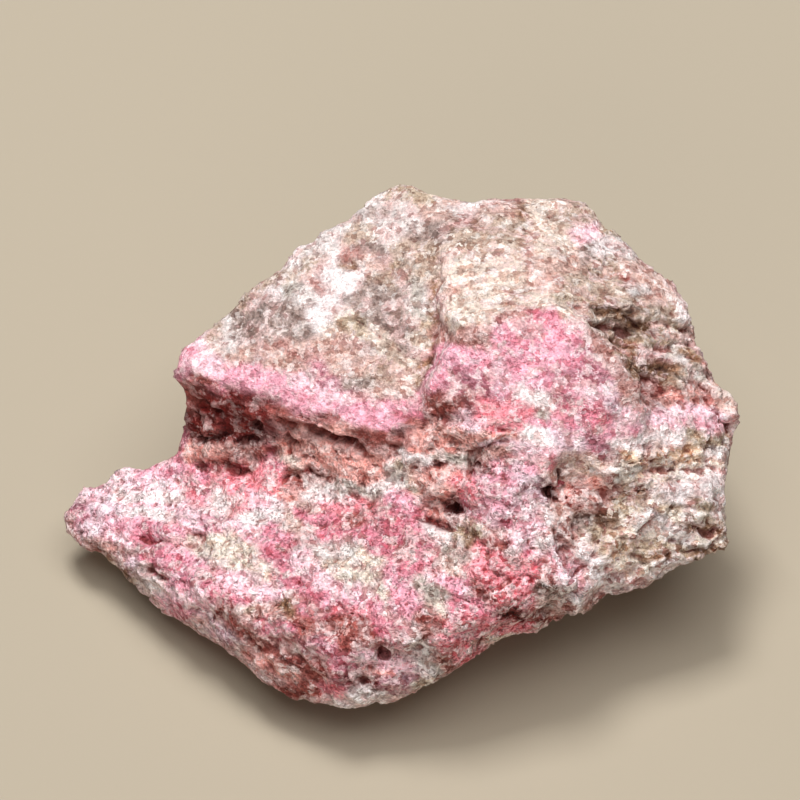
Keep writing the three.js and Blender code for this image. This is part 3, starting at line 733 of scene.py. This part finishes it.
        (-24, -8, -21.6, -8.6, 0.9), (-29, -9.8, -25.4, -11.8, 0.8), (-9, -19, -7.6, -19.6, 1.5),
        (-15.6, -36, -14, -37.6, 1.5), (-12.4, -35.4, -7, -37.6, 2.6), (2.6, -34.6, 6, -35.8, 0.6),
        (-9, -39, -5, -39.4, 1.8), (-26, -38, -20, -42, 1.3), (-29, -34.6, -26, -35.6, 1.6),
        (-20, -41, -14, -44, 1.3), (-18, -46.8, -13, -47.8, 1.0), (-34.6, -21.4, -33, -21.8, 0.4),
    ],
    "blush": [
        (-33.6, 10.4, -32, 8, 1.1), (-34, 5.8, -29, 5.4, 0.9), (-16.6, 3.6, -12, 1.4, 1.1),
        (-13, 0.4, -9.6, 0, 1.0), (15.6, 6, 16.4, 2, 1.1), (9.6, -2.6, 11, -4.4, 1.1),
        (29, 2, 31, 1, 0.9), (29.6, 27.6, 31.6, 27.6, 1.0), (35.4, -3, 44, -3, 1.3),
        (47, -1.6, 50.6, -2.8, 1.5), (20, -8, 24, -8.4, 0.9), (18.6, -16, 21.6, -18.6, 1.3),
        (18.6, -20.6, 21, -21.6, 0.9), (19, -24, 22, -22, 0.9), (24, -24.6, 28.4, -30, 1.2),
        (13.6, -18.4, 14.4, -18.8, 1.0), (5, -28, 6.4, -28, 0.8), (1, -38, 1.6, -36, 0.8),
        (-5, -41.6, 0, -42.6, 1.5), (-53, -15.4, -50, -14.6, 1.2), (-49, -13, -44, -12.4, 1.2),
        (-46, -14.4, -38, -14.2, 0.9), (-46, -17, -38, -17.4, 0.9), (-35.4, -18.6, -34, -20, 1.1),
        (-28.6, -20.4, -25, -20.6, 0.9), (-24, -16, -21, -17, 1.2), (-28, -28.6, -24, -29, 1.0),
        (-39, -31.6, -37, -33, 0.9), (-34, -32, -31, -33.6, 1.0), (-16.6, -25.6, -15, -27, 0.9),
        (-13, -29, -8, -30.6, 1.1), (-22, -31, -20, -31.4, 0.9), (-48, -22, -45, -23, 0.9),
    ],
    "lilac": [
        (24.6, -6, 29, -7.4, 1.3), (33.6, 1.6, 34.4, -1, 0.9), (19, -12.4, 22, -14.4, 1.4),
        (-50, -17, -47, -17.6, 1.6), (-52, -21, -50, -22, 1.0), (-45.6, -25.6, -43.6, -27.4, 1.0),
        (13, -7.2, 18, -7.2, 0.5), (-30, -37, -26, -38.4, 0.9),
    ],
    "pink": [
        (-36.6, 6.8, -34, 7, 1.1), (-30, 4.6, -22, 3.4, 1.5), (-22, 2.6, -15, 0.4, 1.7),
        (-15, -1, -9, -1.6, 1.6), (-8, -1.6, -1, -2.6, 1.7), (1, -1.4, 3.4, -0.6, 1.0),
        (6, 7.4, 12, 7.2, 1.4), (7, 5, 6, 3, 1.4), (17, 10.6, 24, 11, 1.8), (18, 7, 24, 7, 1.6),
        (19.6, 8.4, 22.4, 8.6, 0.9), (24.6, 8.4, 28, 6, 1.6), (26, 12, 29, 9.6, 1.1),
        (18, 4.6, 24, 3, 1.6), (21, -3.6, 28, -4.4, 0.8), (33, -5, 39, -4.8, 0.9),
        (16, 1, 19, 0.8, 0.6), (13, -12.6, 18, -13, 1.2), (14, -15, 18, -16, 1.2),
        (16, -10.4, 20, -11.4, 1.2), (7, -29.6, 9.6, -31, 1.3), (0, -29, 2, -32.6, 1.4),
        (-12, -31.6, -5, -32.6, 1.1), (-24, -22.4, -20, -21.6, 1.1), (-36, -28, -33, -27.6, 1.2),
        (-35, -25.6, -33.6, -26.6, 0.8), (-46.6, -20, -41, -20.4, 1.3),
        (-39.6, -20.6, -36.6, -21.4, 1.2), (-32, -20.6, -29.4, -20.4, 1.1),
        (-37, -11.6, -32, -13, 1.2), (-33, -14.6, -31, -15.4, 0.9), (-42, -12, -37.6, -12, 1.0),
        (-1, -16, 3, -16.6, 1.0),
    ],
    "rose": [
        (-31, 2.4, -28, 1.6, 0.6), (12, 6, 15, 6, 0.9), (20, 14, 25, 14, 0.8),
        (0.6, -2, 3, -2.6, 0.7), (27, -0.6, 33, -2.6, 1.7), (46, -3.6, 50, -4.2, 0.6),
        (-36.8, -9, -35.6, -5.6, 0.8), (15, -18.4, 17, -19.6, 1.0), (11, -16.6, 13, -18.4, 1.1),
        (0, -17.4, 4, -18.6, 1.0), (-2, -19.6, 2, -20.4, 1.2), (-1, -22, 3, -22.6, 1.6),
        (3.4, -22, 5.4, -24.6, 1.1), (0, -26, 4, -27, 1.7), (-4.6, -24, -1.6, -23.6, 0.9),
        (21, -24.6, 21.8, -26.4, 0.8), (11, -33, 14.6, -33.6, 1.1), (10, -38, 13, -38.6, 0.9),
        (7.6, -32.6, 10, -34.6, 1.0), (-16, -19, -10, -19.6, 1.2), (-12, -21.4, -5, -21.6, 1.2),
        (-22.4, -24.6, -18, -25, 1.3), (-19, -26, -17, -28.6, 1.2), (-20, -28.6, -17, -29.8, 0.9),
        (-16, -29.6, -13, -32, 1.0), (-44, -22.6, -39, -23, 1.1), (-37.6, -23.4, -36.6, -24, 0.6),
        (-41, -25.4, -37, -26.6, 1.5), (-35, -30, -30, -30.6, 0.8), (-38.6, -32.6, -35, -34.6, 0.9),
        (-30, -31.6, -26, -32, 1.2), (-15.6, -34, -12, -34.6, 1.0), (-12, -41, -8, -42.6, 1.5),
        (-4, -35.6, -1, -37.4, 1.1), (-22, -36, -19, -38, 0.9), (-20, -37, -16.6, -36.6, 0.9),
        (-21, -9, -20, -11, 1.1),
    ],
    "mauve": [
        (10, 3.6, 14, 3, 1.6), (25.6, 3.6, 27, 1.4, 2.0), (29, 5.4, 32, 4, 1.6),
        (30.6, -6.4, 33, -7.6, 0.8), (-54.8, -17.4, -53.4, -19, 1.2), (-36.6, 4.6, -34, 4.4, 0.8),
        (-14, 4.4, -11, 2.6, 1.4), (-14, -38.4, -11, -39.6, 1.0), (-3, -45.6, 1, -45.6, 1.1),
    ],
    "dusk": [
        (6, 11, 14, 10.4, 1.2), (16.5, 12.6, 20, 13.6, 1.4), (29.6, 11.4, 31.6, 9, 0.9),
        (32.6, 8.6, 34.6, 5.4, 1.2), (35.4, 4.6, 37.6, 0.6, 1.1), (-9, 23.6, -7.4, 24.4, 0.9),
        (-14.6, 19.4, -12.6, 17.4, 1.0), (-20, 8.4, -15, 7.4, 1.4), (36, -0.6, 44, -0.4, 0.9),
        (49.6, 6, 50.6, 3.4, 0.6), (41.6, 18.4, 42.6, 17.6, 0.7), (34, -13.6, 31.6, -16.4, 1.4),
        (24.6, -20, 27.6, -22.6, 1.5), (12, -8.4, 17, -8.6, 0.8), (-50, -23, -46, -25, 1.1),
        (-27, -8, -25, -8.6, 0.9), (1.6, -36, 4.6, -37, 1.2), (-23, -34.6, -20, -34.6, 1.0),
        (6, -41.6, 9, -42.6, 1.0), (26, -32.6, 31, -33, 1.1), (46, 2.2, 50, 1.8, 0.7),
    ],
    "coral": [
        (13, -2, 19, -1.4, 1.5), (15, -4.4, 19.6, -4.2, 0.9), (23, -9.2, 23.8, -9.8, 0.8),
        (9, -13.6, 12, -14.8, 1.1), (13, -26, 20, -27.4, 1.6), (14, -29, 18, -29.4, 1.2),
        (15.6, -30.4, 20, -31.6, 1.2), (17, -36, 20, -36.6, 0.9), (10.6, -35.6, 15, -36.6, 1.1),
        (6.6, -38, 9.6, -40.6, 1.6), (-31, -12, -27, -12.6, 1.1), (-35, -15, -33, -15.4, 0.7),
        (-26, -13, -23, -14, 1.1), (-22, -12.4, -20, -13.4, 1.5), (-27.4, -15.4, -25.4, -16.4, 1.1),
        (-12, -16.6, -6, -17, 1.1), (-10, -33.4, -6, -34, 0.9), (-12, -46.6, -9, -46, 1.0),
    ],
    "salmon": [
        (42, 0.6, 52, 0.8, 1.1), (3, -5.6, 9.6, -6.4, 1.1), (11, -5.8, 19, -6.2, 0.6),
        (3, -8, 10, -8, 0.8), (7, -7.2, 10, -7.2, 0.9), (5, -12, 9, -12.6, 0.9),
        (3, -13.4, 8, -14.6, 1.3), (4, -16.6, 6, -18.6, 1.1), (26, -14.6, 31, -14, 1.2),
        (-12, -10.6, -3.6, -11.8, 1.4), (-18, -8, -12, -8.6, 1.1), (-16, -4.4, -8, -5.4, 0.9),
        (-19, -15, -17, -16, 1.0), (-33.6, -7.8, -29, -8.8, 1.3), (-24, -40, -18, -44.4, 0.9),
        (-6, -44, -1, -44, 0.6),
    ],
    "ochre": [
        (41, -8.4, 48, -8.8, 0.8), (36, -9.2, 40, -9.4, 0.6), (17, 15.4, 18.4, 14.8, 0.5),
        (33.6, -24.6, 36, -25.4, 0.6),
    ],
}

# What shows on the back and underside, where noise places it: the mineral and how common it is.
HIDDEN_MINERALS = {
    "sand": 0.22, "salmon": 0.2, "rose": 0.2, "cream": 0.12, "ash": 0.1, "pink": 0.22,
}
HIDDEN_SIZE = 15  # length of their areas along the layers
HIDDEN_ORDER, HIDDEN_NOISE = 4, 2.2  # how much that counts, and how much the noise does

# How ragged the edges of minerals are.
EDGE_STRAY, EDGE_STRAY_LENGTH = 0.9, 4  # how far they stray, and over what length
BACK_STRAY = 1.6  # the same on the back
EDGE_NOISE = 0.7  # how far noise eats into a patch, in its radii
PATCH_REACH = 3  # the most radii at which a patch still counts
SHARPNESS = {"stone": 3.4, "second": 1.1}  # of the colour that shows, and of the one mixed into it
MINERALS_FACING = (-0.45, 0.05)  # the hidden minerals take over between these

CLOUD_SIZE, CLOUD_SHADE = 7, 0.10  # broad lighter and darker areas
LAYER_SHADE = 0.8  # how much the thin layers lighten and darken the colour


def linear(colour):
    """A #RRGGBB colour as linear red, green and blue."""
    parts = np.array([int(colour[i : i + 2], 16) for i in (1, 3, 5)]) / 255
    return np.where(parts <= 0.04045, parts / 12.92, ((parts + 0.055) / 1.055) ** 2.4)


def mineral_shares(points, facing):
    """How much of each mineral is at each point, for each sharpness of their edges."""
    wander = warp(points, EDGE_STRAY_LENGTH, (71, 72, 73), octaves=4)
    places = on_show(points + EDGE_STRAY * wander)
    fields = [
        creased(points, wavelength=6, seed=74, octaves=4),
        layered(points, wavelength=7, seed=75, octaves=5),
        layered(points, wavelength=5, seed=76, octaves=5),
    ]
    distances = []
    for i, patches in enumerate(MINERAL_PATCHES.values()):
        own = fields[i % 3] * (1 if i % 2 else -1)
        near = np.minimum(to_patches(places, patches), PATCH_REACH)
        distances.append(near + EDGE_NOISE * own)
    layers = bedded(points + BACK_STRAY * wander, BACK_BEDDED)
    hidden_fields = [
        -HIDDEN_ORDER * share - HIDDEN_NOISE * layered(layers, HIDDEN_SIZE, 80 + 3 * i)
        for i, share in enumerate(HIDDEN_MINERALS.values())
    ]
    seen = smoothstep(facing, *MINERALS_FACING)
    nothing = np.zeros(len(points))
    for sharpness in SHARPNESS.values():
        shown = shares(distances, sharpness)
        hidden = dict(zip(HIDDEN_MINERALS, shares(hidden_fields, sharpness)))
        yield {
            name: seen * share + (1 - seen) * hidden.get(name, nothing)
            for name, share in zip(MINERAL_PATCHES, shown)
        }


def paint(mesh, points, facing, hollow):
    """Gives the mesh what its material reads: the colour of the patch at each point, and that of the
    wider ground around it, whose grains are mixed in. Others say how deep in a hollow the point is,
    how crumbly and how flecked the ground is, and where it is with the layers pulled apart."""
    grounds = ground_shares(points, facing)
    shade = 1 + CLOUD_SHADE * layered(points, CLOUD_SIZE, 95)
    shade += LAYER_SHADE * layers_of(points, grounds)
    for name, minerals in zip(SHARPNESS, mineral_shares(points, facing)):
        colour = sum(share[:, None] * linear(MINERALS[kind]) for kind, share in minerals.items())
        values = np.clip(colour * shade[:, None], 0, 1)
        values = np.concatenate([values, np.ones((len(points), 1))], axis=1)
        attribute = mesh.color_attributes.new(name, "FLOAT_COLOR", "POINT")
        attribute.data.foreach_set("color", values.ravel())
    crumbly, flecked = roughness(grounds, CRUMBS), roughness(grounds, FLECKS)
    for name, values in (("hollow", hollow), ("crumbly", crumbly), ("flecked", flecked)):
        mesh.attributes.new(name, "FLOAT", "POINT").data.foreach_set("value", values)
    place = bedded(points, FLECKS_BEDDED) * MM
    mesh.attributes.new("place", "FLOAT_VECTOR", "POINT").data.foreach_set("vector", place.ravel())


# ---- the material ----

# Noise in the rock: wavelength, detail and roughness.
PATCHY = (3.6, 4, 0.7)
MOTTLE = (1.8, 3.5, 0.72)
SUGAR = (0.55, 2, 0.7)
JOLT = (1.0, 2, 0.7)
HAIR = (1.1, 3, 0.7)
GRAIN_SIZE = 1.0
GRAIN_JOLT = 1.6  # how far the grains' edges are pushed about

# Flecks. A pair is where a field starts to tell and where it tells fully, and the number named
# after the pairs is how much it then does.
SECOND_WHERE = (0.50, 0.58)
PALE_MOTTLES, PALE_GRAINS, PALEST = (0.53, 0.66), (0.78, 0.9), 0.75
# Crests, where the hollow attribute is below zero, are made paler.
PALE_CRESTS, PALEST_CREST = (-0.25, -1.0), 0.6
DEEP_MOTTLES, DEEP_GRAINS, DEEPEST = (0.47, 0.35), (0.76, 0.9), 0.8
PALE_GAMMA, DEEP_GAMMA = 0.42, 1.5
DEEP_TINT = (0.77, 0.65, 0.63, 1)

# Painted light and shade on the sugary texture and the grains, from their darkest to their lightest:
# the sugary texture is darker where its bump is low, and each grain is lit as its own facet would be.
SUGAR_SPAN, SUGAR_PAINTED_LIGHT = (0.3, 0.7), (0.74, 1.24)
GRAIN_SPAN, GRAIN_PAINTED_LIGHT = (0.0, 1.0), (0.86, 1.12)

# Dark gaps: hair seams, broken up by the sugary texture, which are partly the rock's own dark seams
# and partly painted shade in them, and hollows, where the darkening is painted shade.
SEAM_WIDTH = (0.036, 0.006)
SEAM_BREAKS = (0.54, 0.42)
SEAM_PATCHES, SEAMS_THERE, SEAMS_IN_CRUMBS = (0.50, 0.40), 0.35, 1.1
SEAM_DARK, SEAM_AND_SHADE_TINT = 0.75, (0.42, 0.27, 0.24, 1)
HOLLOW_SPAN, HOLLOW_SHADE_TINT = (0.3, 1.1), (0.40, 0.19, 0.17, 1)

# The bump: how much each texture counts beside the mottles, and how high it all stands.
BUMP_SUGAR, BUMP_GRAINS, BUMP_SEAMS = 0.5, 0.12, 0.25
BUMP_HEIGHT = 0.65

GLOSS_SPAN, GLOSS_ROUGHNESS = (0.3, 0.7), (0.9, 0.62)
ROCK_IOR, ROCK_SPECULAR = 1.55, 0.25
FLOOR_COLOUR, FLOOR_ROUGHNESS = "#A39886", 0.9


class Nodes:
    """Adds nodes to a new material and joins them."""

    def __init__(self, name):
        self.material = bpy.data.materials.new(name)
        self.material.use_nodes = True
        self.tree = self.material.node_tree
        self.tree.nodes.clear()

    def add(self, kind, inputs, **settings):
        node = self.tree.nodes.new(kind)
        for name, value in settings.items():
            setattr(node, name, value)
        for socket, value in inputs.items():
            if isinstance(value, bpy.types.NodeSocket):
                self.tree.links.new(value, node.inputs[socket])
            else:
                node.inputs[socket].default_value = value
        return node

    def attribute(self, name, output="Fac"):
        return self.add("ShaderNodeAttribute", {}, attribute_name=name).outputs[output]

    def range(self, value, span, result=(0.0, 1.0)):
        inputs = dict(enumerate((value, *span, *result)))
        return self.add("ShaderNodeMapRange", inputs, interpolation_type="SMOOTHSTEP").outputs[0]

    def math(self, operation, first, second=0.0):
        return self.add("ShaderNodeMath", {0: first, 1: second}, operation=operation).outputs[0]

    def mix(self, factor, first, second, blend="MIX"):
        sockets = {0: factor, 6: first, 7: second}  # 6, 7 and output 2 are its colours
        node = self.add(
            "ShaderNodeMix", sockets, data_type="RGBA", blend_type=blend, clamp_factor=True
        )
        return node.outputs[2]

    def tinted(self, colour, tint):
        return self.mix(1.0, colour, tint, "MULTIPLY")

    def gamma(self, colour, power):
        return self.add("ShaderNodeGamma", {"Color": colour, "Gamma": power}).outputs[0]

    def noise(self, where, wavelength, detail, roughness, output="Fac"):
        inputs = {"Vector": where, "Scale": 1 / (wavelength * MM), "Detail": detail}
        inputs["Roughness"] = roughness
        return self.add("ShaderNodeTexNoise", inputs).outputs[output]

    def finish(self, inputs):
        """Ends the material with a plain shader and these inputs to it."""
        shader = self.add("ShaderNodeBsdfPrincipled", inputs)
        self.add("ShaderNodeOutputMaterial", {"Surface": shader.outputs[0]})
        return self.material


def grain_numbers(nodes, where):
    """Three numbers from 0 to 1 for each angular grain, its own."""
    jolt = nodes.noise(where, *JOLT, output="Color")
    inputs = {0: jolt, 1: (GRAIN_JOLT * MM,) * 3, 2: where}
    ragged = nodes.add("ShaderNodeVectorMath", inputs, operation="MULTIPLY_ADD").outputs[0]
    inputs = {"Vector": ragged, "Scale": 1 / (GRAIN_SIZE * MM)}
    grains = nodes.add("ShaderNodeTexVoronoi", inputs)
    return nodes.add("ShaderNodeSeparateColor", {0: grains.outputs["Color"]}).outputs


def flecked_colour(nodes, patchy, mottle, grain, hollow):
    """The minerals, mixed in places with their neighbours and mottled from pale to deep."""
    flecked = nodes.attribute("flecked")
    stone, second = nodes.attribute("stone", "Color"), nodes.attribute("second", "Color")
    mixed = nodes.math("MULTIPLY", nodes.range(patchy, SECOND_WHERE), flecked)
    colour = nodes.mix(mixed, stone, second)
    pale = nodes.gamma(colour, PALE_GAMMA)
    deep = nodes.tinted(nodes.gamma(colour, DEEP_GAMMA), DEEP_TINT)
    paler = nodes.range(mottle, PALE_MOTTLES, (0.0, PALEST))
    paler = nodes.math("MAXIMUM", paler, nodes.range(grain[0], PALE_GRAINS, (0.0, PALEST)))
    paler = nodes.math("MAXIMUM", paler, nodes.range(hollow, PALE_CRESTS, (0.0, PALEST_CREST)))
    deeper = nodes.range(mottle, DEEP_MOTTLES, (0.0, DEEPEST))
    deeper = nodes.math("MAXIMUM", deeper, nodes.range(grain[1], DEEP_GRAINS, (0.0, DEEPEST)))
    colour = nodes.mix(nodes.math("MULTIPLY", paler, flecked), colour, pale)
    return nodes.mix(nodes.math("MULTIPLY", deeper, flecked), colour, deep)


def painted_grain_light(nodes, colour, sugar, grain):
    """The colour with painted light and shade: darker where the sugary bump is low, and lighter or
    darker from grain to grain, as if each grain's facet caught the light its own way.
    """
    painted_light = nodes.math(
        "MULTIPLY",
        nodes.range(sugar, SUGAR_SPAN, SUGAR_PAINTED_LIGHT),
        nodes.range(grain[2], GRAIN_SPAN, GRAIN_PAINTED_LIGHT),
    )
    grey = nodes.add("ShaderNodeCombineColor", {0: painted_light, 1: painted_light, 2: painted_light})
    return nodes.tinted(colour, grey.outputs[0])


def hair_seams(nodes, where, patchy, sugar):
    """Fine dark seams, where the noise is near its middle: partly the rock's own dark seams, partly
    painted shade in these fine gaps. Crumbly ground has the most.
    """
    seams = nodes.noise(where, *HAIR)
    seams = nodes.math("ABSOLUTE", nodes.math("SUBTRACT", seams, 0.5))
    seams = nodes.range(seams, SEAM_WIDTH)
    reach = nodes.math("MULTIPLY", nodes.range(patchy, SEAM_PATCHES), SEAMS_THERE)
    crumbs = nodes.math("MULTIPLY", nodes.attribute("crumbly"), SEAMS_IN_CRUMBS)
    reach = nodes.math("MINIMUM", nodes.math("ADD", reach, crumbs), 1.0)
    seams = nodes.math("MULTIPLY", seams, reach)
    return nodes.math("MULTIPLY", seams, nodes.range(sugar, SEAM_BREAKS))


def rock_bump(nodes, mottle, sugar, grain, seams):
    """The finest relief, which is too fine for the mesh."""
    height = nodes.math("ADD", mottle, nodes.math("MULTIPLY", sugar, BUMP_SUGAR))
    height = nodes.math("ADD", height, nodes.math("MULTIPLY", grain[2], BUMP_GRAINS))
    height = nodes.math("SUBTRACT", height, nodes.math("MULTIPLY", seams, BUMP_SEAMS))
    inputs = {"Height": height, "Strength": 1.0, "Distance": BUMP_HEIGHT * MM}
    return nodes.add("ShaderNodeBump", inputs).outputs[0]


def rock_material():
    """Minerals from the mesh, with flecks, angular grains and dark gaps in them, and painted
    shade in the gaps and hollows and painted light and shade on the grains.
    """
    nodes = Nodes("thulite_rock")
    where = nodes.attribute("place", "Vector")
    hollow = nodes.attribute("hollow")
    patchy = nodes.noise(where, *PATCHY)
    mottle = nodes.noise(where, *MOTTLE)
    sugar = nodes.noise(where, *SUGAR)
    grain = grain_numbers(nodes, where)
    seams = hair_seams(nodes, where, patchy, sugar)

    colour = flecked_colour(nodes, patchy, mottle, grain, hollow)
    # Painted light and shade on the sugary texture and the grains.
    colour = painted_grain_light(nodes, colour, sugar, grain)
    # Partly the rock's own dark seams, partly painted shade in these fine gaps.
    gap = nodes.tinted(colour, SEAM_AND_SHADE_TINT)
    colour = nodes.mix(nodes.math("MULTIPLY", seams, SEAM_DARK), colour, gap)
    # Painted shade: hollows in the mesh are darkened towards a deep red-brown.
    painted_hollow_shade = nodes.tinted(colour, HOLLOW_SHADE_TINT)
    colour = nodes.mix(nodes.range(hollow, HOLLOW_SPAN), colour, painted_hollow_shade)
    return nodes.finish({
        "Base Color": colour,
        "Roughness": nodes.range(mottle, GLOSS_SPAN, GLOSS_ROUGHNESS),
        "Normal": rock_bump(nodes, mottle, sugar, grain, seams),
        "IOR": ROCK_IOR,
        "Specular IOR Level": ROCK_SPECULAR,
    })


def floor_material():
    colour = (*linear(FLOOR_COLOUR), 1)
    return Nodes("pale_floor").finish({"Base Color": colour, "Roughness": FLOOR_ROUGHNESS})


# ---- the stone ----

FACING_ROUNDS = 12  # rounds of blurring for the way that the surface faces
RELIEF_ROUNDS = 2  # for the direction in which the relief stands
HOLLOW_ROUNDS = 3  # for the direction in which hollows are deep
AROUND_ROUNDS = 8  # rounds that give the surface around a point
FULL_HOLLOW = 0.45  # how far below that a hollow is a full one
RESTING, CLEAR = 0.05, 1.6  # heights at which the relief starts and is full
WORN, WORN_FACING = 0.5, 0.3  # the relief that edges along the outline lose, and how far in


def shaped(mesh):
    """Gives the fine mesh its forms and relief, but not where it stands on its flat face."""
    edges = edges_of(mesh)
    start = points_of(mesh)
    normals = smooth_normals(mesh, edges, FACING_ROUNDS)
    facing = normals @ TO_SHOW
    free = smoothstep(start[:, 2], RESTING, CLEAR)
    points = start + normals * (free * show_forms(start, facing))[:, None]
    move_points(mesh, points)
    normals = smooth_normals(mesh, edges, RELIEF_ROUNDS)
    kept = free * (1 - WORN * bell(facing / WORN_FACING))
    points += normals * (kept * relief(start, ground_shares(start, facing)))[:, None]
    points[:, 2] = np.maximum(points[:, 2], 0)
    move_points(mesh, points)


def make_stone(node):
    """The dressed stone, in place of its CAD node."""
    dense = fine_mesh(node)
    shaped(dense)
    mesh = thinned(dense)
    mesh.name = PIECE
    edges = edges_of(mesh)
    points = points_of(mesh)
    around = blurred(points, edges, AROUND_ROUNDS)
    # How far each point lies below the surface around it. The material paints shade into hollows by it,
    # and makes crests paler.
    sunk = np.sum((around - points) * smooth_normals(mesh, edges, HOLLOW_ROUNDS), axis=1)
    facing = smooth_normals(mesh, edges, FACING_ROUNDS) @ TO_SHOW
    paint(mesh, points, facing, np.clip(sunk / FULL_HOLLOW, -1, 1))
    for polygon in mesh.polygons:
        polygon.use_smooth = True
    mesh.materials.clear()
    mesh.materials.append(rock_material())
    return add_object(PIECE, mesh)


# ---- floor, light and camera ----

# In metres. A light is its name, place, size, power in watts and colour.
FLOOR_HALF = 1.5
AIM = Vector((0, 0, 0.02))
WHITE = (1, 1, 1)
WARM = (1, 0.93, 0.86)
LIGHTS = [
    ("key", (-0.2, 0.5, 1.5), 0.5, 20, WHITE),
    ("top", (0.1, -0.1, 1.6), 1.6, 25.5, WHITE),
    ("front", (-0.25, -1.1, 0.35), 0.9, 4.5, WARM),
]
WORLD_STRENGTH = 0.025
CAMERA_DISTANCE = 1.0  # far enough away for the view to be nearly flat
VIEW_WIDTH = 0.132
SENSOR = 36.0  # in millimetres, as Blender has it
CLIP_START = 0.01


def turned_to(direction):
    """The rotation that points a light or camera along a direction."""
    return direction.to_track_quat("-Z", "Y").to_euler()


def make_floor():
    signs = ((-1, -1), (1, -1), (1, 1), (-1, 1))
    corners = [(x * FLOOR_HALF, y * FLOOR_HALF, 0) for x, y in signs]
    mesh = bpy.data.meshes.new("floor")
    mesh.from_pydata(corners, [], [(0, 1, 2, 3)])
    mesh.materials.append(floor_material())
    add_object("floor", mesh)


def add_light(name, place, size, power, colour):
    light = bpy.data.lights.new(name, "AREA")
    light.size = size
    light.energy = power
    light.color = colour
    lamp = add_object(name, light)
    lamp.location = place
    lamp.rotation_euler = turned_to(AIM - lamp.location)


def light_scene():
    world = bpy.data.worlds.new("studio")
    world.use_nodes = True
    background = world.node_tree.nodes["Background"]
    background.inputs["Color"].default_value = (*WARM, 1)
    background.inputs["Strength"].default_value = WORLD_STRENGTH
    bpy.context.scene.world = world
    for light in LIGHTS:
        add_light(*light)
    bpy.context.scene.view_settings.view_transform = "Standard"


def add_camera():
    """Squarely on the best side."""
    camera = bpy.data.cameras.new("camera")
    camera.sensor_width = SENSOR
    camera.lens = SENSOR * CAMERA_DISTANCE / VIEW_WIDTH
    camera.clip_start = CLIP_START
    holder = add_object("camera", camera)
    holder.location = Vector(SHOW_CENTRE * MM) + CAMERA_DISTANCE * Vector(TO_SHOW)
    holder.rotation_euler = turned_to(Vector(-TO_SHOW))
    bpy.context.scene.camera = holder


stone = make_stone(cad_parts[NODE])
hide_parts(NODE)
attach(stone, "root")
make_floor()
light_scene()
add_camera()
